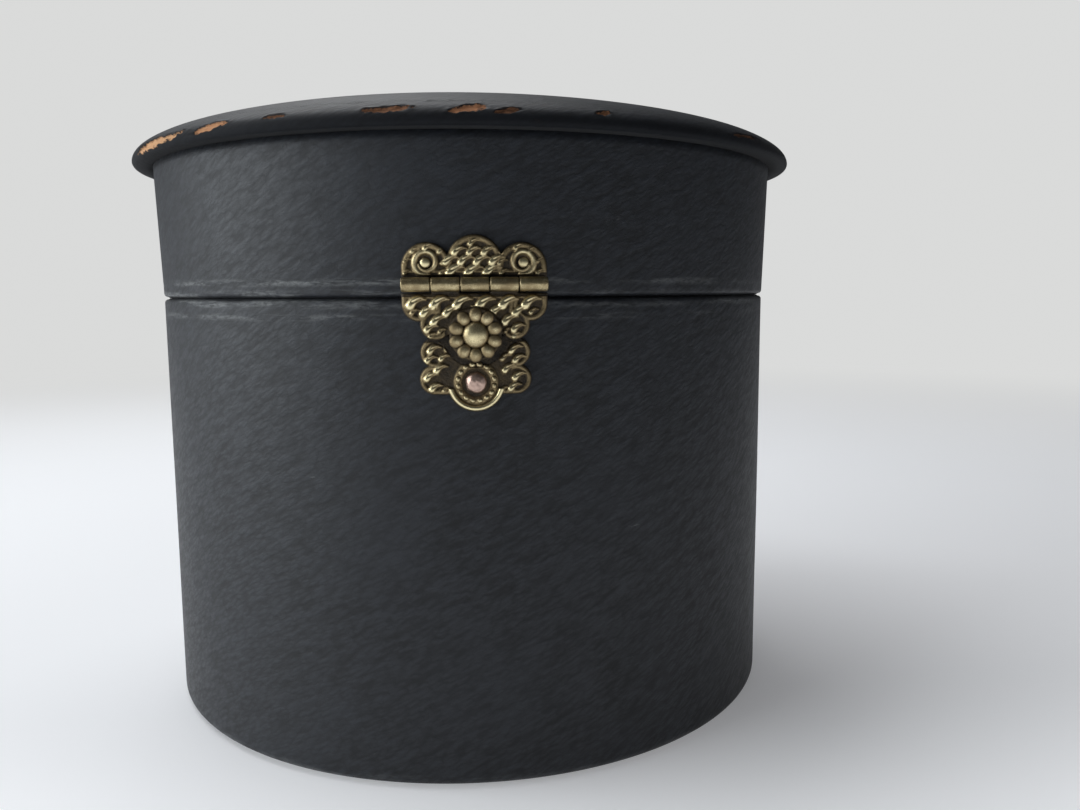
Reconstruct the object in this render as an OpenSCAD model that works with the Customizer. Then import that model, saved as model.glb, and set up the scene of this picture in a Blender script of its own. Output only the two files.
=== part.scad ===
// Round collar box: a covered board body, a hinged padded lid with an overhanging lip,
// a stamped brass clasp at the front, a brass stop hinge at the back,
// and a round lidded cup for collar studs in the middle of the floor.
// The origin is the centre of the underside, +Z is up and the clasp faces -Y.

/* [Body] */
// Outer diameter of the body over its covering
body_d = 165; // [130:1:220]
// Height of the body from the table to its covered top edge
body_h = 105; // [80:1:160]
// Thickness of the bent board wall of the body and lid
wall_t = 3.2; // [2:0.1:5]
// Thickness of the grained covering
cover_t = 0.6; // [0.4:0.1:1]
// Thickness of the base board
base_t = 3; // [2:0.1:6]
// Rounding of the covered bottom edge
base_edge_r = 2.4; // [1:0.1:4]
// Rounding of the covered edges at the seam
seam_edge_r = 0.9; // [0.7:0.1:1.5]
// Width of the covering that is turned in under the base
turn_in_w = 9; // [5:0.5:15]
// Thickness of the paper under the base
paper_t = 0.4; // [0.2:0.1:1]

/* [Lid] */
// Gap at the seam between the body and the closed lid
seam_gap = 0.6; // [0.3:0.1:1.5]
// Height of the lid wall from the seam to the underside of the lip
lid_wall_h = 32.5; // [26:0.5:60]
// How far the lid wall leans out from the seam to the lip
lid_flare = 1; // [0:0.1:3]
// Overhang of the lip beyond the top of the lid wall
lip_overhang = 4.5; // [3:0.1:8]
// Rounding of the lower edge of the lip
lip_edge_r = 0.9; // [0.8:0.1:1.5]
// Thickness of the lid's top board
lid_board_t = 3; // [2:0.1:5]
// Height of the padded crown above the widest point of the lip
crown_h = 15.9; // [8:0.1:25]
// Reach of the crown's curve: larger is steeper at the lip and flatter on top
crown_reach = 109.3; // [100:0.1:200]

/* [Lining] */
// Thickness of the wall lining, which is satin over thin card
lining_t = 1; // [0.6:0.1:2]
// Thickness of the floor pad at its edges
floor_pad_t = 1.6; // [1:0.1:4]
// Extra thickness of the floor pad at its middle
floor_pad_crown = 1.4; // [0.5:0.1:4]
// Thickness of the ceiling pad at its edge
ceiling_pad_t = 2; // [1:0.1:4]
// Extra thickness of the ceiling pad at its middle
ceiling_pad_crown = 4; // [1:0.1:8]

/* [Stud cup] */
// Outer diameter of the stud cup over its covering
cup_d = 62; // [46:1:72]
// Height of the stud cup above the base board
cup_h = 52; // [30:1:62]
// Thickness of the cup's board wall
cup_wall_t = 2; // [1.2:0.1:3]
// Thickness of the satin inside and outside the cup
satin_t = 0.5; // [0.3:0.1:1]
// Thickness of the cup's base
cup_base_t = 2; // [1.2:0.1:4]
// Thickness of the board of the cup's lid
cup_lid_t = 2; // [1.2:0.1:3]
// Depth of the plug that holds the cup's lid in the cup
cup_plug_h = 4; // [3:0.5:8]
// Height of the pad on the cup's lid
cup_pad_h = 4.5; // [3:0.1:7]
// Radius of the brass knob on the cup's lid
cup_knob_r = 3; // [2:0.1:5]
// How far the cup's lid overhangs the cup
cup_lid_over = 0.6; // [0:0.1:1.5]

/* [Clasp] */
// Width of the clasp at its hinge barrel
clasp_w = 29.4; // [24:0.1:36]
// Height of the clasp's hinge axis above the middle of the seam
clasp_rise = 2.6; // [2:0.1:4]
// Radius of the clasp's hinge barrel
clasp_barrel_r = 1.5; // [1.1:0.05:1.8]
// Radius of the clasp's hinge pin
clasp_pin_r = 0.5; // [0.4:0.05:0.6]
// Thickness of the stamped brass sheet
brass_t = 0.6; // [0.4:0.05:0.8]
// Distance from the clasp's hinge axis down to the middle of the rosette
rosette_drop = 10; // [9:0.1:12]
// Outer radius of the rosette
rosette_r = 5.3; // [4.5:0.1:6]
// Distance from the clasp's hinge axis down to the rivet of the catch plate
rivet_drop = 19.7; // [19:0.1:23]
// Radius of the catch stud's head
stud_r = 1.6; // [1.2:0.1:2]
// Height of the catch stud's head above the catch plate
stud_h = 1.3; // [0.8:0.1:1.4]
// Slope of the slanted leaf tips, rising to the right
leaf_tilt = 24; // [0:1:45]
// Number of petals round the rosette
petal_n = 10; // [6:1:10]

/* [Hinge] */
// Width of the back hinge
hinge_w = 30; // [24:0.5:44]
// Height of each leaf of the back hinge, from the axis
leaf_h = 13; // [10:0.5:20]
// Thickness of the hinge leaves
leaf_t = 0.8; // [0.6:0.05:1.2]
// Radius of the back hinge's barrel
hinge_barrel_r = 1.5; // [1.3:0.05:1.8]
// Radius of the back hinge's pin
hinge_pin_r = 0.75; // [0.6:0.05:0.9]
// Angle at which the hinge's stop lug catches the lid
lid_open_angle = 105; // [95:1:120]

/* [Hidden] */
$fn = 96;
wall_fn = 360;        // fineness of the curved walls that small brass pieces lie on

// Clearances
bond = 0.15;          // between curved layers that are glued together
drop_in = 0.4;        // round the base board in the body
lift_gap = 0.3;       // between parts that move past each other
pin_gap = 0.05;       // radial, round a pin
shank_gap = 0.1;      // radial, round the shank of a nail or rivet
head_gap = 0.03;      // under the head of a nail or rivet
knuckle_gap = 0.2;    // between the knuckles of a hinge
web_lap = 0.3;        // how far a knuckle's web laps onto its leaf
lining_drop = 0.2;    // from the board's edge to the lining's edge
past = 1;             // how far a cutting shape runs past what it cuts
reach = 120;          // depth of a cut that goes right through

// Body
body_r = body_d / 2;
board_r = body_r - cover_t - bond;
board_ri = board_r - wall_t;
lining_r = board_ri - bond;
lining_ri = lining_r - lining_t;
board_z = paper_t + cover_t;
floor_z = board_z + base_t;

// Lid
lid_z = body_h + seam_gap;
under_z = lid_z + lid_wall_h;
lip_z = under_z + lip_edge_r;
lip_r = body_r + lid_flare + lip_overhang;
top_board_z = under_z + cover_t;
pad_z = top_board_z + lid_board_t;

// Cup
cup_r = cup_d / 2;
cup_board_r = cup_r - satin_t - bond;
cup_board_ri = cup_board_r - cup_wall_t;
cup_lining_r = cup_board_ri - bond;
cup_room_r = cup_lining_r - satin_t;
cup_top_z = floor_z + cup_h;
cup_lid_z = cup_top_z + lift_gap;
cup_pad_z = cup_lid_z + cup_lid_t;
cup_pad_r = cup_r + cup_lid_over - bond;
cup_pad_edge = 1;
plug_corner_r = 0.8;
knob_stem_r = 1;
knob_foot_r = cup_knob_r + 0.6;
knob_foot_t = 0.8;
knob_neck_h = 1.2;

// Clasp
seam_z = body_h + seam_gap / 2;
clasp_z = seam_z + clasp_rise;
clasp_y = body_r + clasp_barrel_r + knuckle_gap;
plate_r = body_r + bond;
catch_front_r = plate_r + brass_t;
hasp_r = catch_front_r + lift_gap;
hasp_front_r = hasp_r + brass_t;
rosette_z = clasp_z - rosette_drop;
rivet_z = clasp_z - rivet_drop;
nail_r = 0.5;
nail_head_r = 1.1;
nail_head_h = 0.6;
catch_rivet_r = 2.2;
catch_rivet_h = 1.5;

// Rosette, hollow at the back for the stud
pocket_h = stud_h - lift_gap / 2;
rosette_t = pocket_h + 0.55;
dome_r = 2.7;
dome_h = 1.6;
petal_r = 1.15;
petal_ring_r = rosette_r - petal_r - 0.1;

// Outline of the clasp, from its hinge axis: the lid plate's lobes, the hasp's shoulders and neck,
// and the catch plate's lobes and tip
lobe_r = 5.1;
lobe_u = clasp_w / 2 - lobe_r;
lobe_z = 3.3;
middle_lobe_r = 5.7;
middle_lobe_z = 4.2;
shoulder_r = 3.6;
shoulder_u = clasp_w / 2 - shoulder_r;
shoulder_z = 3.8;
neck_r = 3.2;
neck_u = 7.9;
neck_z = 7.9;
catch_lobe_r = 3.1;
catch_upper_u = 8.1;
catch_upper_z = rosette_drop + 3.6;
catch_lower_u = 8.3;
catch_lower_z = rivet_drop - 0.6;
stem_w = 6;
stem_top_z = 5.5;
tip_r = 6;

// Relief of the stamping
leaf_l = 3;
leaf_r = 0.75;        // at the head of a leaf tip
leaf_end_r = 0.4;     // at its other end
bead_r = 0.55;
rim_r = 0.45;
rim_inset = 0.7;
scroll_r = 2;
scroll_z = 4.3;
sheet_lap = 0.3;      // how deep the relief is let into the sheet
rivet_ring_r = rivet_drop - rosette_drop - rosette_r - bead_r - lift_gap / 2;
// Rows of leaf tips: count, pitch and height over the axis
plate_rows = [[3, 3.4, 3], [3, 3.2, 4.95], [2, 3.2, 6.9]];
hasp_rows = [[6, 4.6, -3.1], [5, 4.6, -4.9], [2, 15.6, -7.1], [2, 15.4, -9.2]];
catch_rows = [
    [2, 2 * catch_upper_u, -catch_upper_z],
    [2, 13.8, -rivet_drop + 3.3],
    [2, 2 * catch_lower_u, -catch_lower_z]
];

// Hinge
hinge_z = seam_z;
hinge_y = body_r + hinge_barrel_r + knuckle_gap;
leaf_inner_r = body_r + bond;
hinge_rivet_u = hinge_w / 2 - 6;
hinge_rivet_z = leaf_h - 4.5;
rivet_shank_r = 0.8;
rivet_head_r = 1.7;
rivet_head_h = 0.8;
leaf_corner_r = 3;
lug_w = 4;
lug_t = 0.9;
lug_l = hinge_barrel_r + 2;
lug_root = 0.9;

function lid_r(z) = body_r + lid_flare * (z - lid_z) / lid_wall_h;
function arc_deg(u, r) = u / r * 180 / PI;
function crown_end(d) = acos(1 - (lip_r - d) / crown_reach);
function crown_rise(d) = crown_h / sin(crown_end(0)) - d;

// Shared shapes

// Profile of a block from radius r0 to r1, with its two outer corners rounded
module rounded_profile(r0, r1, z0, z1, low_r, high_r) {
    translate([r0, z0 + low_r]) square([r1 - r0, z1 - z0 - low_r - high_r]);
    translate([r0, z0]) square([r1 - r0 - low_r, low_r]);
    translate([r0, z1 - high_r]) square([r1 - r0 - high_r, high_r]);
    translate([r1 - low_r, z0 + low_r]) circle(low_r);
    translate([r1 - high_r, z1 - high_r]) circle(high_r);
}

// Profile of a wall that follows the lean of the lid, from inset d0 to inset d1
module lid_wall_profile(z0, z1, d0, d1) {
    polygon([
        [lid_r(z0) - d1, z0],
        [lid_r(z0) - d0, z0],
        [lid_r(z1) - d0, z1],
        [lid_r(z1) - d1, z1]
    ]);
}

// Profile of the lid's crown and lip, set in by d from the covered surface
module crown_profile(d) {
    steps = 20;
    arc = [for (i = [0:steps]) i / steps * crown_end(d)];
    polygon(concat(
        [[0, lip_z]],
        [for (a = arc) [
            max(0, lip_r - d - crown_reach * (1 - cos(a))),
            lip_z + crown_rise(d) * sin(a)
        ]]
    ));
    translate([0, under_z + d]) square([lip_r - lip_edge_r, lip_edge_r - d + 0.01]);
    translate([lip_r - lip_edge_r, lip_z]) circle(lip_edge_r - d);
}

// Profile of a pad from radius r0 to r1 whose top swells from edge height to edge plus crown
module pad_profile(r0, r1, edge, crown) {
    steps = 14;
    polygon(concat(
        [[r1, 0], [r0, 0]],
        [for (i = [0:steps])
            let (s = i / steps)
            [r0 + (r1 - r0) * s, edge + crown * (r0 > 0 ? sin(180 * s) : cos(90 * s))]
        ]
    ));
}

// Low dome of radius r and height h, standing on z = 0
module dome(r, h) {
    ball_r = (r * r + h * h) / (2 * h);
    rotate_extrude($fn = 32) intersection() {
        translate([0, h - ball_r]) circle(ball_r, $fn = 96);
        square([r, h]);
    }
}

// Places a shape on the wall: its z points outwards and its y points up
module on_wall(side, u, z, r) {
    rotate([0, 0, side + arc_deg(u, body_r)]) translate([0, -r, z]) rotate([90, 0, 0]) children();
}

// Domed rivet or nail, with its shank running into the wall
module rivet(head_r, head_h, shank_r, shank_l) {
    dome(head_r, head_h);
    translate([0, 0, -shank_l]) cylinder(h = shank_l + head_h / 3, r = shank_r, $fn = 24);
}

// Cutter for a shank
module shank_hole(shank_r, depth) {
    translate([0, 0, -depth]) cylinder(h = depth + 4 * past, r = shank_r + shank_gap, $fn = 24);
}

// Leaf tip of the stamping, which tapers up to the right
module leaf_tip() {
    low = -leaf_l / 2 + leaf_r;
    high = leaf_l / 2 - leaf_end_r;
    rotate([0, 0, leaf_tilt]) rotate([0, 90, 0]) {
        translate([0, 0, low]) cylinder(h = high - low, r1 = leaf_r, r2 = leaf_end_r, $fn = 16);
        translate([0, 0, low]) sphere(leaf_r, $fn = 16);
        translate([0, 0, high]) sphere(leaf_end_r, $fn = 16);
    }
}

// Rows of leaf tips on the wall of radius r
module leaf_rows(rows, r) {
    for (row = rows) for (i = [0:row[0] - 1])
        on_wall(0, (i - (row[0] - 1) / 2) * row[1], clasp_z + row[2], r) leaf_tip();
}

// Raised ring
module ring(r, wire_r) {
    rotate_extrude($fn = 48) translate([r, 0]) circle(wire_r, $fn = 24);
}

// Raised rim along a lobe of radius r, swept from angle start to angle end
module rim_arc(r, start, end, wire_r = rim_r) {
    rotate([0, 0, start])
        rotate_extrude(angle = end - start, $fn = 48)
            translate([r - rim_inset, 0]) circle(wire_r, $fn = 24);
}

// Raised rims of a mirrored pair of lobes on the wall of radius wall
module rim_pair(u, z, r, start, end, wall) {
    on_wall(0, u, clasp_z + z, wall) rim_arc(r, start, end);
    on_wall(0, -u, clasp_z + z, wall) rim_arc(r, 180 - end, 180 - start);
}

// Ring of n petals
module petals(n, r, ball_r) {
    for (i = [0:n - 1]) rotate([0, 0, (i + 0.5) * 360 / n])
        translate([r, 0, 0]) sphere(ball_r, $fn = 24);
}

// Upright tube of sheet of thickness t round radius r, from z0 to z1
module wall_shell(z0, z1, r, t) {
    rotate_extrude($fn = wall_fn) translate([r, z0]) square([t, z1 - z0]);
}

// Upright cylinder that cuts the backs of raised shapes to the wall
module wall_core(r) {
    cylinder(h = clasp_z + leaf_h, r = r, $fn = wall_fn);
}

// Outline pushed out towards -Y, with its origin on the clasp's axis
module towards_front() {
    translate([0, 0, clasp_z]) rotate([90, 0, 0]) linear_extrude(height = reach) children();
}

// Straight tube along X, centred on x = u
module along_x(u, w, r) {
    translate([u - w / 2, 0, 0]) rotate([0, 90, 0]) cylinder(h = w, r = r, $fn = 32);
}

// Middle of knuckle i of n on a barrel of width w
function knuckle_u(i, n, w) = (i - (n - 1) / 2) * w / n;

// Barrel knuckles first, first + 2, ... of n, joined by webs to a leaf that lies towards up (1 or -1)
module knuckles(first, n, w, barrel_r, pin_r, up, web_y) {
    knuckle_w = w / n - knuckle_gap;
    web_h = barrel_r + knuckle_gap + web_lap;
    for (i = [first:2:n - 1]) difference() {
        union() {
            along_x(knuckle_u(i, n, w), knuckle_w, barrel_r);
            translate([knuckle_u(i, n, w) - knuckle_w / 2, 0, up > 0 ? 0 : -web_h])
                cube([knuckle_w, web_y, web_h]);
        }
        along_x(0, w + 2 * past, pin_r + pin_gap);
    }
}

// Body

module body_board() {
    color("#a5825a") difference() {
        rotate_extrude() rounded_profile(
            board_ri, board_r, board_z, body_h - cover_t,
            base_edge_r - cover_t, seam_edge_r - cover_t
        );
        body_shank_holes();
    }
}

module body_cover() {
    color("#2b2f38") difference() {
        rotate_extrude() difference() {
            rounded_profile(board_ri - turn_in_w, body_r, paper_t, body_h, base_edge_r, seam_edge_r);
            rounded_profile(
                board_ri - turn_in_w - past, body_r - cover_t, board_z, body_h - cover_t,
                base_edge_r - cover_t, seam_edge_r - cover_t
            );
            translate([board_ri - turn_in_w - past, board_z])
                square([turn_in_w + past, body_h]);
        }
        body_shank_holes();
    }
}

module base_board() {
    color("#a5825a") translate([0, 0, board_z]) cylinder(h = base_t, r = board_ri - drop_in);
}

module base_paper() {
    color("#4a3f35") cylinder(h = paper_t, r = body_r - base_edge_r - past);
}

module body_lining() {
    color("#d8c9a8") rotate_extrude() rounded_profile(
        lining_ri, lining_r, floor_z, body_h - cover_t - lining_drop, lining_t / 4, lining_t / 4
    );
}

module floor_pad() {
    color("#d8c9a8") translate([0, 0, floor_z]) rotate_extrude()
        pad_profile(cup_r + lift_gap, lining_ri - lift_gap, floor_pad_t, floor_pad_crown);
}

// Every shank that runs into the body's wall
module body_shank_holes() {
    depth = wall_t + cover_t;
    on_wall(0, 0, rosette_z, body_r) shank_hole(nail_r, depth);
    on_wall(0, 0, rivet_z, body_r) shank_hole(nail_r, depth);
    for (s = [-1, 1]) on_wall(180, s * hinge_rivet_u, hinge_z - hinge_rivet_z, body_r)
        shank_hole(rivet_shank_r, depth);
}

// Stud cup

module cup_base() {
    color("#a5825a") translate([0, 0, floor_z]) cylinder(h = cup_base_t, r = cup_board_r);
}

module cup_wall() {
    color("#a5825a") translate([0, 0, floor_z + cup_base_t]) difference() {
        cylinder(h = cup_h - cup_base_t - satin_t, r = cup_board_r);
        translate([0, 0, -past]) cylinder(h = cup_h + 2 * past, r = cup_board_ri);
    }
}

module cup_cover() {
    color("#c9b48c") rotate_extrude() {
        translate([cup_r - satin_t, floor_z]) square([satin_t, cup_h]);
        translate([cup_board_ri, cup_top_z - satin_t]) square([cup_r - cup_board_ri, satin_t]);
    }
}

module cup_lining() {
    color("#c9b48c") translate([0, 0, floor_z + cup_base_t]) difference() {
        cylinder(h = cup_h - cup_base_t - satin_t, r = cup_lining_r);
        translate([0, 0, -past]) cylinder(h = cup_h + 2 * past, r = cup_room_r);
    }
}

module cup_floor_pad() {
    color("#c9b48c") translate([0, 0, floor_z + cup_base_t])
        rotate_extrude() pad_profile(0, cup_room_r - lift_gap, floor_pad_t / 2, floor_pad_crown / 2);
}

module cup_lid_board() {
    color("#a5825a") translate([0, 0, cup_lid_z]) cylinder(h = cup_lid_t, r = cup_r + cup_lid_over);
}

module cup_lid_plug() {
    color("#a5825a") rotate_extrude() rounded_profile(
        0, cup_room_r - lift_gap, cup_lid_z - cup_plug_h, cup_lid_z, plug_corner_r, bond
    );
}

module cup_lid_pad() {
    color("#c9b48c") difference() {
        translate([0, 0, cup_pad_z])
            rotate_extrude() pad_profile(0, cup_pad_r, cup_pad_edge, cup_pad_h - cup_pad_edge);
        translate([0, 0, cup_pad_z - past])
            cylinder(h = cup_pad_h + 2 * past, r = knob_stem_r + bond, $fn = 32);
    }
}

module cup_lid_knob() {
    color("#b08d3e") translate([0, 0, cup_pad_z]) {
        cylinder(h = cup_pad_h + knob_foot_t + cup_knob_r, r = knob_stem_r, $fn = 32);
        translate([0, 0, cup_pad_h]) cylinder(h = knob_foot_t, r = knob_foot_r, $fn = 48);
        translate([0, 0, cup_pad_h + knob_foot_t + knob_neck_h + cup_knob_r * 0.8])
            sphere(cup_knob_r, $fn = 48);
    }
}

// Lid

module lid_board() {
    inset = cover_t + bond;
    color("#a5825a") difference() {
        rotate_extrude() lid_wall_profile(lid_z + cover_t, top_board_z, inset, inset + wall_t);
        lid_shank_holes();
    }
}

module lid_cover() {
    edge_z = lid_z + seam_edge_r;
    skin_ri = cover_t + bond + wall_t;
    color("#2b2f38") difference() {
        rotate_extrude() {
            lid_wall_profile(edge_z, top_board_z, 0, cover_t);
            difference() {
                union() {
                    translate([lid_r(edge_z) - skin_ri, lid_z])
                        square([skin_ri - seam_edge_r, seam_edge_r]);
                    translate([lid_r(edge_z) - seam_edge_r, edge_z]) circle(seam_edge_r);
                }
                translate([lid_r(edge_z) - skin_ri - past, lid_z + cover_t])
                    square([skin_ri + past - cover_t, 2 * seam_edge_r]);
                translate([lid_r(edge_z) - 2 * seam_edge_r - past, edge_z])
                    square([2 * seam_edge_r + 2 * past, 2 * seam_edge_r]);
            }
        }
        lid_shank_holes();
    }
}

module lid_top_board() {
    color("#a5825a") rotate_extrude() intersection() {
        crown_profile(cover_t + bond);
        translate([0, top_board_z]) square([lip_r, lid_board_t]);
    }
}

module lid_crown_pad() {
    color("#cbbf9f") rotate_extrude() intersection() {
        crown_profile(cover_t + bond);
        translate([0, pad_z]) square([lip_r, crown_h + past]);
    }
}

module lid_top_cover() {
    color("#2b2f38") rotate_extrude() difference() {
        crown_profile(0);
        crown_profile(cover_t);
        translate([0, under_z - past]) square([lid_r(top_board_z) + bond, cover_t + past + lip_edge_r]);
    }
}

module lid_lining() {
    inset = cover_t + 2 * bond + wall_t;
    color("#d8c9a8") rotate_extrude()
        lid_wall_profile(lid_z + cover_t + lining_drop, top_board_z, inset, inset + lining_t);
}

module lid_ceiling_pad() {
    pad_r = lid_r(lid_z) - cover_t - 2 * bond - wall_t - lining_t - lift_gap;
    color("#d8c9a8") translate([0, 0, top_board_z]) mirror([0, 0, 1])
        rotate_extrude() pad_profile(0, pad_r, ceiling_pad_t, ceiling_pad_crown);
}

// Every shank that runs into the lid's wall
module lid_shank_holes() {
    depth = wall_t + cover_t;
    for (s = [-1, 1]) {
        on_wall(0, s * lobe_u, clasp_z + scroll_z, body_r) shank_hole(nail_r, depth);
        on_wall(180, s * hinge_rivet_u, hinge_z + hinge_rivet_z, body_r)
            shank_hole(rivet_shank_r, depth);
    }
}

// Back hinge

// Leaf outline with rounded corners, from the barrel to the far edge
module leaf_outline() {
    low = hinge_barrel_r + knuckle_gap;
    inner_w = hinge_w - 2 * leaf_corner_r;
    translate([-hinge_w / 2, low]) square([hinge_w, leaf_h - low - leaf_corner_r]);
    translate([-inner_w / 2, low]) square([inner_w, leaf_h - low]);
    for (s = [-1, 1])
        translate([s * inner_w / 2, leaf_h - leaf_corner_r]) circle(leaf_corner_r, $fn = 48);
}

// Shell that the leaf is bent to, over the body (up = -1) or the lid (up = 1)
module leaf_shell(up) {
    if (up > 0) rotate_extrude($fn = wall_fn)
        lid_wall_profile(lid_z, hinge_z + leaf_h + past, -bond - leaf_t, -bond);
    else wall_shell(hinge_z - leaf_h - past, hinge_z, leaf_inner_r, leaf_t);
}

module hinge_leaf(up, first) {
    intersection() {
        leaf_shell(up);
        translate([0, 0, hinge_z]) rotate([90, 0, 180])
            linear_extrude(height = reach) mirror([0, up > 0 ? 0 : 1]) leaf_outline();
    }
    difference() {
        translate([0, hinge_y, hinge_z]) mirror([0, 1, 0])
            knuckles(first, 5, hinge_w, hinge_barrel_r, hinge_pin_r, up, hinge_y - body_r + past);
        wall_core(leaf_inner_r + sheet_lap / 2);
    }
}

module hinge_leaf_holes(up) {
    for (s = [-1, 1]) on_wall(180, s * hinge_rivet_u, hinge_z + up * hinge_rivet_z, body_r)
        shank_hole(rivet_shank_r, wall_t);
}

// Lug on the middle knuckle that the lid's leaf comes down on
module stop_lug() {
    face = hinge_y - lid_r(hinge_z + lug_l) - bond - leaf_t - knuckle_gap / 2;
    translate([0, hinge_y, hinge_z]) rotate([90 - lid_open_angle, 0, 0])
        difference() {
            translate([-lug_w / 2, lug_root, face - lug_t]) cube([lug_w, lug_l - lug_root, lug_t]);
            along_x(0, lug_w + past, hinge_pin_r + pin_gap);
        }
}

module hinge_body_leaf() {
    color("#8a7236") {
        difference() {
            hinge_leaf(-1, 0);
            hinge_leaf_holes(-1);
        }
        stop_lug();
    }
}

module hinge_lid_leaf() {
    color("#8a7236") difference() {
        hinge_leaf(1, 1);
        hinge_leaf_holes(1);
    }
}

module hinge_rivet_pair(up) {
    lean = up > 0 ? lid_r(hinge_z + hinge_rivet_z + rivet_head_r) - body_r : 0;
    seat_r = leaf_inner_r + leaf_t + lean + head_gap;
    for (s = [-1, 1]) on_wall(180, s * hinge_rivet_u, hinge_z + up * hinge_rivet_z, seat_r)
        rivet(rivet_head_r, rivet_head_h, rivet_shank_r, leaf_t + cover_t + wall_t - lift_gap);
}

module hinge_body_rivets() {
    color("#8a7236") hinge_rivet_pair(-1);
}

module hinge_lid_rivets() {
    color("#8a7236") hinge_rivet_pair(1);
}

module hinge_pin() {
    color("#8a7236") translate([0, hinge_y, hinge_z]) along_x(0, hinge_w, hinge_pin_r);
}

// Clasp

// Barrel and everything past it, which the sheet above (up = 1) or below (up = -1) it leaves free
module past_barrel(up) {
    room = clasp_barrel_r + knuckle_gap;
    translate([-clasp_w, up > 0 ? room - reach : -room]) square([2 * clasp_w, reach]);
}

// Outline of the lid plate: three lobes over the barrel
module clasp_plate_outline() {
    difference() {
        union() {
            translate([-clasp_w / 2, 0]) square([clasp_w, lobe_z]);
            for (s = [-1, 1]) translate([s * lobe_u, lobe_z]) circle(lobe_r, $fn = 48);
            translate([0, middle_lobe_z]) circle(middle_lobe_r, $fn = 48);
        }
        past_barrel(1);
    }
}

// Outline of the hasp: scalloped shoulders that draw in to the rosette
module hasp_outline() {
    difference() {
        union() {
            translate([-clasp_w / 2, -shoulder_z]) square([clasp_w, shoulder_z]);
            for (s = [-1, 1]) {
                translate([s * shoulder_u, -shoulder_z]) circle(shoulder_r, $fn = 48);
                translate([s * neck_u, -neck_z]) circle(neck_r, $fn = 48);
            }
            translate([-neck_u, -rosette_drop]) square([2 * neck_u, rosette_drop - shoulder_z]);
            translate([0, -rosette_drop]) circle(rosette_r, $fn = 48);
        }
        past_barrel(-1);
    }
}

// Outline of the catch plate: a stem behind the hasp, two pairs of lobes and a round tip
module catch_outline() {
    for (s = [-1, 1]) {
        translate([s * catch_upper_u, -catch_upper_z]) circle(catch_lobe_r, $fn = 48);
        translate([s * catch_lower_u, -catch_lower_z]) circle(catch_lobe_r, $fn = 48);
    }
    translate([-catch_upper_u, -catch_lower_z - catch_lobe_r])
        square([2 * catch_upper_u, catch_lower_z + catch_lobe_r - rosette_drop]);
    translate([-stem_w / 2, -rosette_drop]) square([stem_w, rosette_drop - stem_top_z]);
    translate([0, -rivet_drop]) circle(tip_r, $fn = 48);
}

module clasp_plate() {
    front_r = plate_r + brass_t;
    lobe_lean = lid_r(clasp_z + lobe_z) - body_r;
    color("#9c8243") difference() {
        union() {
            intersection() {
                rotate_extrude($fn = wall_fn) lid_wall_profile(
                    lid_z, clasp_z + middle_lobe_z + middle_lobe_r + past, -bond - brass_t, -bond
                );
                towards_front() clasp_plate_outline();
            }
            difference() {
                union() {
                    leaf_rows(plate_rows, front_r);
                    for (s = [-1, 1])
                        on_wall(0, s * lobe_u, clasp_z + scroll_z, front_r) ring(scroll_r, bead_r);
                    rim_pair(lobe_u, lobe_z, lobe_r, 5, 120, front_r + lobe_lean);
                    on_wall(0, 0, clasp_z + middle_lobe_z, front_r + lobe_lean)
                        rim_arc(middle_lobe_r, 35, 145);
                }
                wall_core(plate_r + sheet_lap);
            }
            difference() {
                translate([0, -clasp_y, clasp_z])
                    knuckles(0, 5, clasp_w, clasp_barrel_r, clasp_pin_r, 1, clasp_y - body_r + past);
                wall_core(plate_r + sheet_lap / 2);
            }
        }
        for (s = [-1, 1]) on_wall(0, s * lobe_u, clasp_z + scroll_z, body_r) shank_hole(nail_r, wall_t);
    }
}

module clasp_nails() {
    seat_r = lid_r(clasp_z + scroll_z + nail_head_r) + bond + brass_t + head_gap;
    color("#6e5a2c") for (s = [-1, 1]) on_wall(0, s * lobe_u, clasp_z + scroll_z, seat_r)
        rivet(nail_head_r, nail_head_h, nail_r, brass_t + cover_t + wall_t - lift_gap);
}

module clasp_pin() {
    color("#9c8243") translate([0, -clasp_y, clasp_z]) along_x(0, clasp_w, clasp_pin_r);
}

module hasp() {
    color("#9c8243") difference() {
        union() {
            intersection() {
                wall_shell(rosette_z - rosette_r - past, clasp_z, hasp_r, brass_t);
                towards_front() hasp_outline();
            }
            difference() {
                union() {
                    leaf_rows(hasp_rows, hasp_front_r);
                    rim_pair(shoulder_u, -shoulder_z, shoulder_r, -85, 15, hasp_front_r);
                    rim_pair(neck_u, -neck_z, neck_r, -70, 25, hasp_front_r);
                    on_wall(0, 0, rosette_z, hasp_r) {
                        cylinder(h = rosette_t, r = rosette_r, $fn = 48);
                        translate([0, 0, rosette_t]) petals(petal_n, petal_ring_r, petal_r);
                        translate([0, 0, rosette_t]) dome(dome_r, dome_h);
                    }
                }
                wall_core(hasp_r);
            }
            difference() {
                translate([0, -clasp_y, clasp_z])
                    knuckles(1, 5, clasp_w, clasp_barrel_r, clasp_pin_r, -1, clasp_y - body_r + past);
                wall_core(hasp_r);
            }
        }
        stud_pocket();
    }
}

// Hollow behind the rosette that slips over the stud, open at its lower edge
module stud_pocket() {
    pocket_r = stud_r + lift_gap;
    on_wall(0, 0, rosette_z, hasp_r - past) {
        cylinder(h = past + pocket_h, r = pocket_r, $fn = 48);
        translate([-pocket_r, -2 * rosette_r, 0]) cube([2 * pocket_r, 2 * rosette_r, past + pocket_h]);
    }
}

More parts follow.
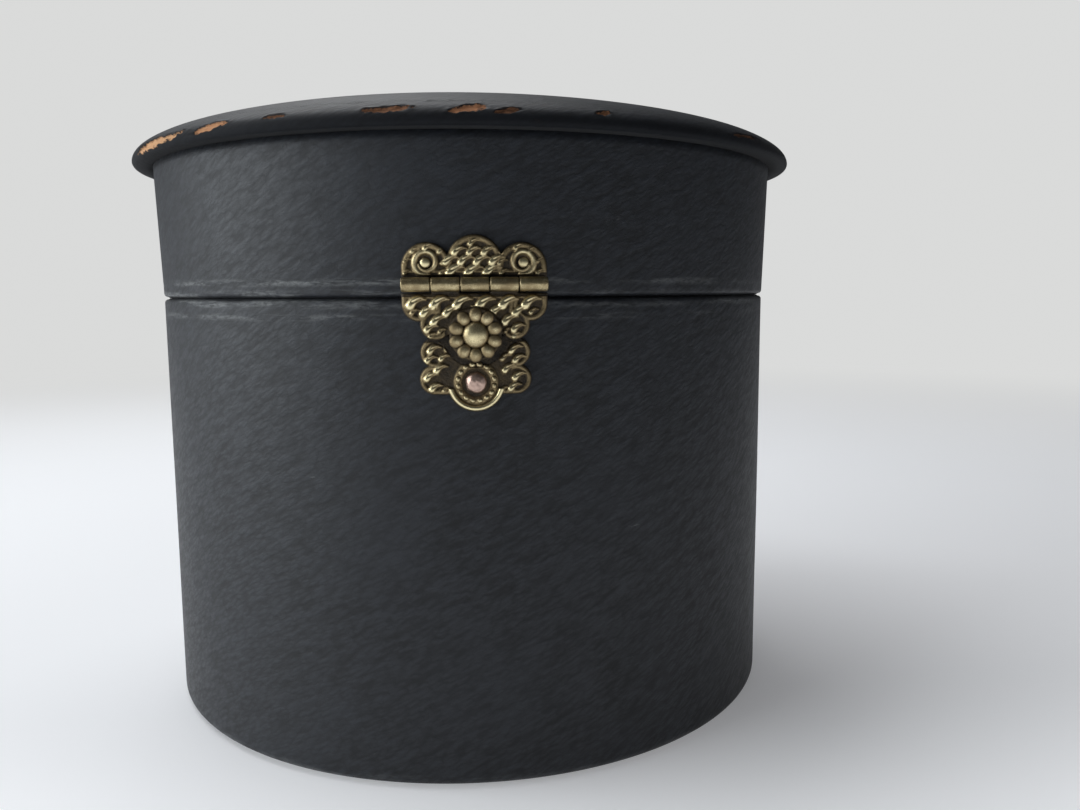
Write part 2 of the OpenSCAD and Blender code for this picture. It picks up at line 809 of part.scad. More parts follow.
module catch_plate() {
    color("#9c8243") difference() {
        union() {
            intersection() {
                wall_shell(rivet_z - tip_r - past, clasp_z, plate_r, brass_t);
                towards_front() catch_outline();
            }
            difference() {
                union() {
                    leaf_rows(catch_rows, catch_front_r);
                    rim_pair(catch_upper_u, -catch_upper_z, catch_lobe_r, -45, 65, catch_front_r);
                    rim_pair(catch_lower_u, -catch_lower_z, catch_lobe_r, -80, 45, catch_front_r);
                    on_wall(0, 0, rivet_z, catch_front_r) {
                        ring(rivet_ring_r, bead_r);
                        rim_arc(tip_r, -140, -40, bead_r);
                    }
                }
                wall_core(plate_r);
            }
        }
        for (z = [rosette_z, rivet_z]) on_wall(0, 0, z, body_r) shank_hole(nail_r, wall_t);
    }
}

module catch_stud() {
    color("#9c8243") on_wall(0, 0, rosette_z, catch_front_r + head_gap)
        rivet(stud_r, stud_h - head_gap, nail_r, brass_t + cover_t + wall_t - lift_gap);
}

module catch_rivet() {
    color("#b98a78") on_wall(0, 0, rivet_z, catch_front_r + head_gap)
        rivet(catch_rivet_r, catch_rivet_h, nail_r, brass_t + cover_t + wall_t - lift_gap);
}

body_board();
body_cover();
base_board();
base_paper();
body_lining();
floor_pad();
cup_base();
cup_wall();
cup_cover();
cup_lining();
cup_floor_pad();
cup_lid_board();
cup_lid_plug();
cup_lid_pad();
cup_lid_knob();
catch_plate();
catch_stud();
catch_rivet();
hinge_body_leaf();
hinge_body_rivets();
hinge_lid_leaf();
hinge_lid_rivets();
hinge_pin();
lid_board();
lid_cover();
lid_top_board();
lid_crown_pad();
lid_top_cover();
lid_lining();
lid_ceiling_pad();
clasp_plate();
clasp_nails();
clasp_pin();
hasp();
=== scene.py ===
import math

import bmesh
import bpy
import numpy as np
from mathutils import Matrix, Vector, noise


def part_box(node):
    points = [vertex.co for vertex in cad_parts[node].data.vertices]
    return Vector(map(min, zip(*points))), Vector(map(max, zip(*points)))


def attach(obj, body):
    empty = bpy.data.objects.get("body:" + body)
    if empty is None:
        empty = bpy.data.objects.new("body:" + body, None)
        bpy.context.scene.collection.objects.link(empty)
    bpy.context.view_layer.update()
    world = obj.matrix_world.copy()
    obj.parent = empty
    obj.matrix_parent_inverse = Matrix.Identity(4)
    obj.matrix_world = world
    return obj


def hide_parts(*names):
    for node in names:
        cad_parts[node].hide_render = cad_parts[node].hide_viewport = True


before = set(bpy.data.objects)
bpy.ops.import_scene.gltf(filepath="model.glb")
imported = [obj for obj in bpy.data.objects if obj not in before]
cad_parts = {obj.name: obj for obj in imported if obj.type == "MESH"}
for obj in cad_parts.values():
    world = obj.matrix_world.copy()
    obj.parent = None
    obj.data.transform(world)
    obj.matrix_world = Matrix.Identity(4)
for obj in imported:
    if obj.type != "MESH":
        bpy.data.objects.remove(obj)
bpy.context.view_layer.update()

mm = 0.001


def low(node):
    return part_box(node)[0]


def high(node):
    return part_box(node)[1]


def middle(node):
    return (low(node) + high(node)) / 2


# Sizes of the box, read from the frame
bodyR = high("body_cover")[0]
seamZ = high("body_cover")[2]
bodyLowZ = low("body_cover")[2]
lidZ = low("lid_cover")[2]
underZ = low("lid_top_cover")[2]
topZ = high("lid_top_cover")[2]
lipR = round(high("lid_top_cover")[1] / mm, 1) * mm
lidLean = 1.0 * mm  # how far the lid wall leans out at the lip
coverT = 0.6 * mm  # thickness of the covering
boardIn = 3.95 * mm  # from the outside of the covering to the inside of the board
lipEdgeR = 0.9 * mm  # rounding of the lip's lower edge
crownReach = 109.3 * mm  # reach of the crown's curve
lipZ = underZ + lipEdgeR  # widest level of the lip
crownEnd = math.acos(1 - lipR / crownReach)


def lidWallR(z):
    return bodyR + lidLean * (z - lidZ) / (underZ - lidZ)


def crownPoint(angle, inset=0.0):  # point of the crown at an angle up from the lip
    end = math.acos(1 - (lipR - inset) / crownReach)
    rise = (topZ - lipZ) / math.sin(crownEnd) - inset
    a = angle * end / crownEnd
    return max(0.0, lipR - inset - crownReach * (1 - math.cos(a))), lipZ + rise * math.sin(a)


# Mesh tools

def addObject(name, data):
    made = bpy.data.objects.new(name, data)
    bpy.context.scene.collection.objects.link(made)
    return made


def settled(name, source):  # a new object that holds the mesh that source's modifiers make
    view = bpy.context.evaluated_depsgraph_get()
    mesh = bpy.data.meshes.new_from_object(source.evaluated_get(view))
    bpy.data.objects.remove(source)
    mesh.name = name
    mesh.shade_smooth()
    return addObject(name, mesh)


def linkPiece(name, verts, faces, attributes=None):
    mesh = bpy.data.meshes.new(name)
    mesh.from_pydata([tuple(v) for v in verts], [], [tuple(f) for f in faces])
    for key, values in (attributes or {}).items():
        layer = mesh.attributes.new(key, "FLOAT", "POINT")
        layer.data.foreach_set("value", np.asarray(values, dtype=np.float32))
    bm = bmesh.new()
    bm.from_mesh(mesh)
    bmesh.ops.remove_doubles(bm, verts=bm.verts, dist=0.002 * mm)
    bmesh.ops.recalc_face_normals(bm, faces=bm.faces)
    bm.to_mesh(mesh)
    bm.free()
    mesh.shade_smooth()
    return addObject(name, mesh)


def finishPiece(piece, body, material, slotName, *replaced):
    piece.data.materials.clear()
    piece.data.materials.append(material)
    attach(piece, body)
    if replaced:
        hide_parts(*replaced)
    return piece


def arcPoints(cx, cz, r, start, end, steps):  # angles in degrees from +r towards +z
    out = []
    for i in range(steps + 1):
        a = math.radians(start + (end - start) * i / steps)
        out.append((cx + r * math.cos(a), cz + r * math.sin(a)))
    return out


def fillLine(points, step):  # adds points so that none is further than step
    out = [points[0]]
    for a, b in zip(points, points[1:]):
        n = max(1, math.ceil(math.dist(a, b) / step - 1e-9))
        for i in range(1, n + 1):
            out.append((a[0] + (b[0] - a[0]) * i / n, a[1] + (b[1] - a[1]) * i / n))
    return out


def lathe(profile, segments, closed, shift=None):
    # Revolves (r, z) points. A point on the axis becomes one vertex
    verts, rings = [], []
    for n, (r, z) in enumerate(profile):
        if r < 1e-7:
            rings.append([len(verts)] * segments)
            verts.append((0.0, 0.0, z))
            continue
        ring = []
        for j in range(segments):
            a = 2 * math.pi * j / segments
            rr, zz = shift(r, z, a, n) if shift else (r, z)
            ring.append(len(verts))
            verts.append((rr * math.sin(a), -rr * math.cos(a), zz))
        rings.append(ring)
    faces = []
    for a, b in zip(rings, rings[1:] + (rings[:1] if closed else [])):
        for j in range(segments):
            k = (j + 1) % segments
            face = list(dict.fromkeys((a[j], a[k], b[k], b[j])))
            if len(face) > 2:
                faces.append(face)
    return verts, faces


def ripple(spot):  # smooth noise from 0 to 1
    return 0.5 + 0.5 * noise.noise(spot)


def ringSpot(a, size=1.0, z=0.0):  # place in a noise field that closes on itself round the box
    return Vector((math.sin(a) * size, math.cos(a) * size, z))


# Node tools

class Wire:  # an output socket that can take part in sums
    def __init__(self, owner, socket):
        self.owner = owner
        self.socket = socket

    def math(self, operation, *values):
        return self.owner.add("ShaderNodeMath", {"operation": operation}, dict(enumerate(values)))

    def __add__(self, other):
        return self.math("ADD", self, other)

    def __radd__(self, other):
        return self.math("ADD", other, self)

    def __sub__(self, other):
        return self.math("SUBTRACT", self, other)

    def __rsub__(self, other):
        return self.math("SUBTRACT", other, self)

    def __mul__(self, other):
        return self.math("MULTIPLY", self, other)

    def __rmul__(self, other):
        return self.math("MULTIPLY", other, self)

    def __truediv__(self, other):
        return self.math("DIVIDE", self, other)

    def __abs__(self):
        return self.math("ABSOLUTE", self)

    def atLeast(self, other):
        return self.math("MAXIMUM", self, other)

    def wave(self):
        return self.math("SINE", self)

    def root(self):
        return self.math("SQRT", self)

    def ranged(self, sockets, kind="LINEAR"):
        return self.owner.add("ShaderNodeMapRange", {"interpolation_type": kind}, {0: self, **sockets})

    def step(self, start, end):  # smooth rise from 0 at start to 1 at end
        return self.ranged({1: start, 2: end}, "SMOOTHSTEP")

    def between(self, start, end):  # from start where it is 0 to end where it is 1
        return self.ranged({3: start, 4: end})


class Nodes:  # a node tree
    def __init__(self, tree):
        self.tree = tree

    def add(self, kind, settings=None, sockets=None, out=0):
        made = self.tree.nodes.new(kind)
        for key, value in (settings or {}).items():
            setattr(made, key, value)
        for key, value in (sockets or {}).items():
            if isinstance(value, Wire):
                self.tree.links.new(value.socket, made.inputs[key])
            else:
                made.inputs[key].default_value = value
        return Wire(self, made.outputs[out])


class Finish(Nodes):  # one material and its nodes
    def __init__(self, name, **constants):
        self.material = bpy.data.materials.new(name)
        self.material.use_nodes = True
        super().__init__(self.material.node_tree)
        self.shader = self.tree.nodes["Principled BSDF"]
        for socketName, value in constants.items():
            self.shader.inputs[socketName.replace("_", " ")].default_value = value

    def node(self, kind, settings=None, sockets=None, out=0):
        return self.add("ShaderNode" + kind, settings, sockets, out)

    def place(self):  # x, y and z in millimetres
        spot = self.node("TexCoord", out=3)
        return [self.node("SeparateXYZ", {}, {0: spot}, out=i) * 1000 for i in range(3)]

    def vector(self, x, y, z=0.0):
        return self.node("CombineXYZ", {}, {0: x, 1: y, 2: z})

    def round(self, x, y, r):  # distance round the box from its front, in mm
        return x.math("ARCTAN2", x, y * -1) * r

    def grain(self, spot, scale, detail=2.0, rough=0.5, twist=0.0):
        return self.node(
            "TexNoise", {},
            {"Vector": spot, "Scale": scale, "Detail": detail, "Roughness": rough, "Distortion": twist},
        )

    def cells(self, spot, scale):
        return self.node("TexVoronoi", {}, {"Vector": spot, "Scale": scale})

    def blend(self, mask, first, second):  # colour first where mask is 0
        return self.node("Mix", {"data_type": "RGBA"}, {0: mask, 6: first, 7: second}, 2)

    def attribute(self, name):
        return self.node("Attribute", {"attribute_name": name}, out=2)

    def bump(self, height, distance, strength=1.0):
        return self.node("Bump", {}, {"Height": height, "Distance": distance, "Strength": strength})

    def feed(self, **wires):
        for socketName, wire in wires.items():
            self.tree.links.new(wire.socket, self.shader.inputs[socketName.replace("_", " ")])
        return self.material


def rgb(r, g, b):
    return (r, g, b, 1.0)


class Growth(Nodes):  # a node tree for a Geometry Nodes modifier
    def __init__(self, name, inputs):
        super().__init__(bpy.data.node_groups.new(name, "GeometryNodeTree"))
        self.keys = {}
        for label, kind in inputs.items():
            made = self.tree.interface.new_socket(label, in_out="INPUT", socket_type="NodeSocket" + kind)
            self.keys[label] = made.identifier
        self.tree.interface.new_socket("Geometry", in_out="OUTPUT", socket_type="NodeSocketGeometry")
        self.start = self.tree.nodes.new("NodeGroupInput")

    def given(self, label):
        return Wire(self, self.start.outputs[label])

    def node(self, kind, settings=None, sockets=None, out=0):
        return self.add("GeometryNode" + kind, settings, sockets, out)

    def stand(self, points, shape, turn, size):  # shape on each point, made real and painted
        sockets = {"Points": points, "Instance": shape, "Rotation": turn, "Scale": size}
        placed = self.node("InstanceOnPoints", {}, sockets)
        real = self.node("RealizeInstances", {}, {0: placed})
        painted = self.node("SetMaterial", {}, {"Geometry": real, "Material": self.given("Material")})
        end = self.tree.nodes.new("NodeGroupOutput")
        self.tree.links.new(painted.socket, end.inputs[0])
        return self

    def grow(self, name, base, values):  # runs the tree on a mesh and keeps the plain result
        carrier = addObject(name + "Carrier", base)
        modifier = carrier.modifiers.new("grow", "NODES")
        modifier.node_group = self.tree
        for label, value in values.items():
            modifier[self.keys[label]] = value
        return settled(name, carrier)


# Camera, at the photograph's place: fitted to its edges at this box's size
cameraView = {
    "spot": (-3.04 * mm, -267.4 * mm, 106.4 * mm),
    "yaw": 4.96,  # degrees to the right of straight back
    "pitch": 7.1,  # degrees down
    "roll": 0.37,
    "lens": 30.37,  # on a 36 mm wide sensor
}


def makeCamera(c):
    yaw, pitch, roll = (math.radians(c[k]) for k in ("yaw", "pitch", "roll"))
    ahead = Vector((math.sin(yaw) * math.cos(pitch), math.cos(yaw) * math.cos(pitch), -math.sin(pitch)))
    right = Vector((math.cos(yaw), -math.sin(yaw), 0))
    down = ahead.cross(right)
    turnedRight = right * math.cos(roll) + down * math.sin(roll)
    turnedUp = right * math.sin(roll) - down * math.cos(roll)
    data = bpy.data.cameras.new("photoCamera")
    data.sensor_width = 36
    data.lens = c["lens"]
    data.clip_start = 0.01
    camera = addObject("photoCamera", data)
    turn = Matrix((turnedRight, turnedUp, -ahead)).transposed().to_4x4()
    camera.matrix_world = Matrix.Translation(c["spot"]) @ turn
    bpy.context.scene.camera = camera


makeCamera(cameraView)
print("camera set")


# Covering: near-black grained leatherette

covering = {
    "grainAngle": 24,  # degrees, rising to the right
    "grainLong": 2.3,  # mm
    "grainThin": 0.8,  # mm
    "dark": rgb(0.0035, 0.0043, 0.0058),
    "mid": rgb(0.0155, 0.0185, 0.0245),
    "rubbed": rgb(0.24, 0.25, 0.25),
    "board": rgb(0.45, 0.205, 0.10),
    "boardPale": rgb(0.60, 0.36, 0.19),
    "boardDark": rgb(0.075, 0.036, 0.020),
}


def grainOn(f, u, v):
    # Pebbles drawn out along one slope, fine creases and broad cloudiness, from flat coordinates in mm
    c = covering
    a = math.radians(c["grainAngle"])
    along = (u * math.cos(a) + v * math.sin(a)) / c["grainLong"]
    across = (v * math.cos(a) - u * math.sin(a)) / c["grainThin"]
    wander = f.grain(f.vector(u, v, 5.0), 0.55, 2.0, 0.5) * 1.6
    pebble = 1 - f.cells(f.vector(along + wander, across + wander), 1.0)
    streak = f.grain(f.vector(along * 0.27, across * 0.44, 3.0), 1.0, 4.0, 0.62)
    fine = f.grain(f.vector(u, v, 3.0), 3.4, 2.0, 0.6)
    cloud = f.grain(f.vector(u, v, 9.0), 0.05, 3.0, 0.55)
    return pebble, streak, fine, cloud


def skinColour(f, u, v):
    c = covering
    pebble, streak, fine, cloud = grainOn(f, u, v)
    tone = (pebble * 0.35 + streak * 0.75 + fine * 0.25 - 0.15).step(0.28, 0.8)
    colour = f.blend(tone, c["dark"], c["mid"])
    colour = f.blend(cloud.step(0.35, 0.75) * 0.35, colour, c["mid"])
    relief = pebble * 0.5 + streak * 0.7 + fine * 0.25
    return colour, tone, streak, relief


def wallCovering(name, bands):
    # Covering on the upright walls. bands are levels (mm) that are rubbed pale: height, reach, strength
    c = covering
    f = Finish(name, Specular_IOR_Level=0.4, Sheen_Weight=0.03, Sheen_Roughness=0.35)
    x, y, z = f.place()
    u = f.round(x, y, bodyR / mm)
    colour, tone, streak, relief = skinColour(f, u, z)
    drag = f.grain(f.vector(u * 0.05, z * 0.45, 21.0), 1.0, 4.0, 0.62)
    speck = f.grain(f.vector(u * 0.35, z, 27.0), 1.3, 4.0, 0.7)
    left = abs(u + 62).step(75, 20).between(0.4, 1.0)
    worn = None
    for height, reach, strength in bands:
        band = (1 - abs(z - height).step(0.05, reach)) * strength
        worn = band if worn is None else worn.atLeast(band)
    rub = worn * left * drag.step(0.44, 0.6) * speck.step(0.3, 0.62)
    scuff = f.grain(f.vector(u * 0.12, z * 0.3, 33.0), 1.0, 5.0, 0.7).step(0.66, 0.78)
    scuff = scuff * streak.step(0.42, 0.62)
    colour = f.blend(rub * 0.6 + scuff * 0.35, colour, c["rubbed"])
    rough = tone.between(0.62, 0.5) + rub * 0.15
    return f.feed(Base_Color=colour, Roughness=rough, Normal=f.bump(relief, 0.2 * mm, 0.55))


# Body covering: one strip round the wall, lapped at the back and turned in at both edges

shell = {
    "segments": 360,
    "rowStep": 2.5 * mm,
    "lowEdgeR": 2.4 * mm,
    "seamEdgeR": 0.9 * mm,
    "turnIn": 9 * mm,
    "ridge": 0.26 * mm,  # how far the turned-in edges stand up inside the seam
    "ridgeOut": 1.3 * mm, "ridgeIn": 0.5 * mm,  # its place between the wall's two faces
    "bodySway": 0.12 * mm, "lidSway": 0.08 * mm,  # unevenness of the walls
    "lapAt": 152,  # degrees from the front, where a strip's ends lap
    "lapT": 0.28 * mm,
    "lapFade": 14,  # degrees
}


def wrapWall(name, outer, back, sway):
    # Closed covering with slight unevenness and the lap of its strip's ends, which stands out and dies away
    s = shell
    front = fillLine(outer, s["rowStep"])

    def shift(r, z, a, n):
        if n >= len(front):
            return r, z
        beyond = (math.degrees(a) - s["lapAt"]) % 360
        lap = math.exp(-beyond / s["lapFade"]) if beyond <= 180 else 0
        return r - sway * ripple(ringSpot(a, 2.2, z * 26)) - s["lapT"] * (1 - lap), z

    return linkPiece(name, *lathe(front + back, s["segments"], True, shift))


def makeBodyCover():
    s, r, t = shell, bodyR, coverT
    inner, ridgeZ = r - boardIn, seamZ + s["ridge"]
    foot, brim = (r - s["lowEdgeR"], bodyLowZ + s["lowEdgeR"]), (r - s["seamEdgeR"], seamZ - s["seamEdgeR"])
    outer = [(inner - s["turnIn"], bodyLowZ)]
    outer += arcPoints(*foot, s["lowEdgeR"], -90, 0, 8) + arcPoints(*brim, s["seamEdgeR"], 0, 90, 6)
    outer += [(r - s["ridgeOut"], ridgeZ), (inner + s["ridgeIn"], ridgeZ), (inner, seamZ)]
    back = [(inner, seamZ - t)]
    back += arcPoints(*brim, s["seamEdgeR"] - t, 90, 0, 3) + arcPoints(*foot, s["lowEdgeR"] - t, 0, -90, 5)
    back += [(inner - s["turnIn"], bodyLowZ + t)]
    return wrapWall("bodyCovering", outer, back, s["bodySway"])


def makeLidCover():
    s, t, e = shell, coverT, shell["seamEdgeR"]
    inner, ridgeZ, top = bodyR - boardIn, lidZ - s["ridge"], underZ + t
    edge = (lidWallR(lidZ + e) - e, lidZ + e)
    outer = [(inner, lidZ), (inner + s["ridgeIn"], ridgeZ), (bodyR - s["ridgeOut"], ridgeZ)]
    outer += arcPoints(*edge, e, -90, 0, 6) + [(lidWallR(top), top)]
    back = [(lidWallR(top) - t, top)] + arcPoints(*edge, e - t, 0, -90, 3) + [(inner, lidZ + t)]
    return wrapWall("lidWallCovering", outer, back, s["lidSway"])


seamMm, lidEdgeMm, lipMm = seamZ / mm, lidZ / mm, underZ / mm
bodyBands = [(seamMm - 0.9, 1.5, 1.0), (seamMm - 3.7, 1.1, 0.7), (1.5, 2.2, 0.5)]
bodyLeather = wallCovering("bodyLeatherette", bodyBands)
lidLeather = wallCovering("lidLeatherette", [(lidEdgeMm + 0.6, 1.1, 0.8), (lidEdgeMm + 3.0, 1.2, 1.0)])
finishPiece(makeBodyCover(), "base", bodyLeather, "leatherette", "body_cover")
finishPiece(makeLidCover(), "lid", lidLeather, "leatherette", "lid_cover")
print("wall coverings made")


# Lid top covering: crown and lip, flaked to the board in places along the lip

lidTop = {
    "segments": 900,
    "crownSteps": 46,
    "backSteps": 24,
    "sway": 0.25 * mm,
    "flakeDepth": 0.34 * mm,
    "curl": 0.16 * mm,  # how far the skin lifts round a flake
    "capWidth": 0.55,  # mm of lifted skin along a flake's upper edge, painted dark as its shade
    "ragged": 0.55,
    # Flakes: azimuth (degrees to the right of the clasp), height along the skin from the lip (mm),
    # half length and half width (mm), slant (degrees) and paleness of the board
    "flakes": [
        (-53.0, 0.55, 12.5, 0.95, 3, 1.0),
        (-38.0, 1.5, 5.0, 0.85, 8, 0.8),
        (-26.6, 2.3, 2.8, 0.4, 4, 0.15),
        (-10.6, 2.7, 5.6, 0.85, 6, 0.2),
        (-0.4, 2.8, 3.5, 1.0, 16, 0.42),
        (4.6, 2.2, 2.6, 0.6, 12, 0.12),
        (17.6, 2.9, 1.9, 0.55, 10, 0.25),
        (45.0, 1.7, 7.5, 0.42, 3, 0.05),
        (98.0, 1.2, 6.0, 0.8, 5, 0.5),
        (151.0, 1.6, 9.0, 0.9, 4, 0.35),
        (-122.0, 1.4, 7.5, 0.9, 5, 0.5),
        (-168.0, 2.2, 4.0, 0.8, 9, 0.25),
    ],
}


def flakeField(azimuth, height):
    # How deep a point lies in a flake (1 in the middle, 0 at its edge, negative outside) and its paleness
    best = np.full(azimuth.shape, -1.0)
    pale = np.zeros(azimuth.shape)
    for az, up, halfLong, halfWide, slant, tone in lidTop["flakes"]:
        du = np.radians((azimuth - az + 180) % 360 - 180) * lipR / mm
        dv = height - up
        a = math.radians(slant)
        p = (du * math.cos(a) + dv * math.sin(a)) / halfLong
        q = (dv * math.cos(a) - du * math.sin(a)) / halfWide
        field = 1 - np.sqrt(p * p + q * q)
        pale = np.where(field > best, tone, pale)
        best = np.maximum(best, field)
    return best, pale


def makeLidTop(s):
    inner = lidWallR(underZ) - 0.3 * mm
    profile = [(inner, underZ)]
    profile += arcPoints(lipR - lipEdgeR, lipZ, lipEdgeR, -90, 0, 6)
    widest = len(profile) - 1
    steps, backSteps = s["crownSteps"], s["backSteps"]
    profile += [crownPoint(crownEnd * (i / steps) ** 1.9) for i in range(1, steps)] + [(0.0, topZ)]
    skinCount = len(profile)
    profile += [(0.0, topZ - coverT)]
    profile += [crownPoint(crownEnd * (i / backSteps) ** 1.5, coverT) for i in range(backSteps - 1, -1, -1)]
    profile += [(lipR - coverT, underZ + coverT), (inner, underZ + coverT)]
    verts, faces = lathe(profile, s["segments"], True)
    verts = np.array(verts)
    lengths = np.concatenate([[0], np.cumsum([math.dist(a, b) for a, b in zip(profile, profile[1:])])])
    azimuth = np.degrees(np.arctan2(verts[:, 0], -verts[:, 1]))
    reach = np.where(np.arange(len(profile)) < skinCount, (lengths - lengths[widest]) / mm, -50.0)
    along = np.repeat(reach, [1 if r < 1e-7 else s["segments"] for r, z in profile])
    field, pale = flakeField(azimuth, along)
    above = flakeField(azimuth, along - s["capWidth"])[0]
    ragged = np.array([noise.fractal(Vector(v) * 700, 0.75, 2.1, 4) for v in verts])
    field, above = (np.where(along > -20, f + s["ragged"] * ragged, -1) for f in (field, above))
    sink = np.clip(field / 0.2, 0, 1)
    sink = sink * sink * (3 - 2 * sink)
    lift = np.exp(-((field + 0.1) / 0.1) ** 2) + np.clip(above / 0.2, 0, 1) * (field < 0)
    soft = np.array([noise.noise(Vector(v) * 22) for v in verts])
    outward = np.stack([verts[:, 0], verts[:, 1], np.zeros(len(verts))], 1)
    outward /= np.maximum(np.linalg.norm(outward, axis=1, keepdims=True), 1e-9)
    lean = np.clip(along / 8, 0, 1)[:, None]
    normal = outward * (1 - lean) + np.array([0, 0, 1.0]) * lean
    normal /= np.maximum(np.linalg.norm(normal, axis=1, keepdims=True), 1e-9)
    move = (s["curl"] * lift * (along > 0.5) - s["flakeDepth"] * sink)[:, None] * normal
    move -= s["sway"] * (0.5 + 0.5 * soft)[:, None] * normal * np.clip(along / 6, 0, 1)[:, None]
    verts = verts + np.where((along > 0)[:, None], move, 0)
    marks = {"flake": field, "pale": pale, "along": along, "cap": above}
    return linkPiece("lidTopCovering", verts.tolist(), faces, marks)


def topCovering():
    c = covering
    f = Finish("lidTopLeatherette", Specular_IOR_Level=0.22, Sheen_Weight=0.02, Sheen_Roughness=0.35)
    x, y, z = f.place()
    spot = f.vector(x, y, z)
    along = f.attribute("along")
    onLip = 1 - (along + f.grain(spot, 0.6, 3.0) * 4).step(8.2, 8.6)
    u = f.round(x, y, lipR / mm) * onLip + x * (1 - onLip)
    v = along * onLip + y * (1 - onLip)
    skin, *_, relief = skinColour(f, u, v)
    fine = f.grain(spot, 2.2, 4.0, 0.7)
    flake = f.attribute("flake") + (fine - 0.5) * 0.7
    bare = flake.step(0.0, 0.08)
    # Dark edge round each flake (rim), and painted shade on the lifted skin above it (cap)
    rim = flake.step(-0.35, -0.05) * (1 - flake.step(0.0, 0.12))
    cap = (f.attribute("cap") + (fine - 0.5) * 0.7).step(-0.05, 0.1)
    skin = f.blend(rim.atLeast(cap) * 0.9, skin, rgb(0.009, 0.006, 0.0055))
    # painted shade: the skin under the lip is darkened towards the dark grain colour, and made rougher
    shadedUnderLip = 1 - along.step(0.6, 3.0)
    rubbed = along.step(-0.9, 0.2) * (1 - along.step(0.6, 2.4))
    rubbed = rubbed * f.grain(spot, 0.3, 5.0, 0.75).step(0.56, 0.74)
    skin = f.blend(rubbed * 0.35, skin, c["boardDark"])
    fibres = f.grain(f.vector(x * 0.5, y * 0.5, z * 3), 2.0, 4.0, 0.65)
    pale = f.attribute("pale") + (fibres - 0.5) * 0.9
    board = f.blend(pale.step(0.0, 0.6), c["boardDark"], c["board"])
    board = f.blend(pale.step(0.6, 1.2), board, c["boardPale"])
    board = f.blend((1 - flake.step(0.05, 0.35)) * 0.6, board, c["boardDark"])
    colour = f.blend(bare, f.blend(shadedUnderLip * 0.75, skin, c["dark"]), board)
    rough = bare.atLeast(shadedUnderLip * 0.8).between(0.52, 0.9)
    height = relief * (1 - bare) + fibres * bare
    return f.feed(Base_Color=colour, Roughness=rough, Normal=f.bump(height, 0.2 * mm, 0.5))


finishPiece(makeLidTop(lidTop), "lid", topCovering(), "lid_leatherette", "lid_top_cover")
print("lid top covering made")


# Brass: dark in the recesses, yellow where it has been rubbed

brass = {
    "recess": rgb(0.016, 0.012, 0.008),
    "patina": rgb(0.085, 0.063, 0.036),
    "body": rgb(0.29, 0.225, 0.125),
    "rubbed": rgb(0.80, 0.70, 0.42),
    "pink": rgb(0.56, 0.40, 0.34),
}


def brassFinish(name, shine=0.0, pink=0.0):
    c = brass
    f = Finish(name, Specular_IOR_Level=0.5)
    x, y, z = f.place()
    spot = f.vector(x, y, z)
    mottle = f.grain(spot, 0.16, 4.0, 0.55)
    speck = f.grain(spot, 1.1, 3.0, 0.6)
    scratch = f.grain(f.vector(x * 0.4, y, z * 6), 0.5, 3.0, 0.6)
    colour = f.blend(mottle.step(0.3, 0.55), c["patina"], c["body"])
    colour = f.blend(speck.step(0.62, 0.8) * 0.35, colour, c["recess"])
    colour = f.blend((mottle * 0.6 + scratch * 0.4).step(0.48, 0.66) * shine, colour, c["rubbed"])
    if pink:
        colour = f.blend(mottle.step(0.2, 0.5) * pink, colour, c["pink"])
    rough = (speck * 0.6 + scratch * 0.4).between(0.26, 0.58)
    height = speck + scratch * 0.4
    metal = mottle.step(0.0, 0.4).between(0.8, 1.0)
    return f.feed(Base_Color=colour, Roughness=rough, Metallic=metal, Normal=f.bump(height, 0.035 * mm, 0.6))


def reliefFinish(name):
    c = brass
    f = Finish(name, Specular_IOR_Level=0.5)
    spot = f.vector(*f.place())
    height = f.attribute("relief")
    mottle = f.grain(spot, 0.45, 4.0, 0.6)
    speck = f.grain(spot, 4.0, 3.0, 0.6)
    punch = f.cells(spot, 2.4)
    level = height + (mottle - 0.5) * 0.55 + (speck - 0.5) * 0.35
    colour = f.blend(level.step(-0.1, 0.25), c["recess"], c["patina"])
    colour = f.blend(level.step(0.15, 0.55), colour, c["body"])
    colour = f.blend(level.step(0.55, 0.95), colour, c["rubbed"])
    rough = level.step(0.1, 0.95).between(0.62, 0.3)
    metal = level.step(0.02, 0.3).between(0.5, 1.0)
    dents = punch * (1 - height.step(0.1, 0.35)) * 1.5 + speck * 0.5
    return f.feed(Base_Color=colour, Roughness=rough, Metallic=metal, Normal=f.bump(dents, 0.06 * mm, 0.8))


plainBrass = brassFinish("plainBrass", 0.35)
stampedBrass = reliefFinish("stampedBrass")
rivetCopper = brassFinish("rivetCopper", 0.25, 0.9)


# Clasp: three stamped sheets bent to the wall. Places are in mm from the middle of its barrel

clasp = {
    "width": high("clasp_pin")[0] * 2 / mm,
    "pinY": middle("clasp_pin")[1] / mm,
    "pinZ": middle("clasp_pin")[2] / mm,
    "barrelR": 1.5,
    "barrelGap": 0.2,
    "sheetT": 0.6,
    "cell": 0.14,  # size of the mesh's cells
    "down": 25.7, "up": 9.9,  # reach of the sheets below and above the axis
    "knuckles": 5,
    "bond": 0.15,  # from the wall to the sheets
    "lift": 0.3,  # from the catch plate to the hasp
    "lobeR": 5.1, "lobeZ": 3.3, "middleR": 5.7, "middleZ": 4.2,
    "shoulderR": 3.6, "shoulderZ": 3.8, "neckR": 3.2, "neckU": 7.9, "neckZ": 7.9,
    "rosetteDrop": 10.0, "rosetteR": 5.3, "seatH": 1.1, "domeR": 2.7, "domeH": 1.6,
    "pocketR": 1.9, "pocketH": 1.15,
    "catchR": 3.1, "upperU": 8.1, "upperZ": 13.6, "lowerU": 8.3, "lowerZ": 19.1,
    "rivetDrop": 19.7, "tipR": 6.0, "bossR": 3.7, "stemU": 3, "stemZ": 5.5,
    "scrollZ": 4.3, "scrollR": 2.6,
    "leafTilt": 22, "leafLong": 4.1, "leafWide": 1.9, "leafHigh": 0.95, "leafBend": 0.16,
}


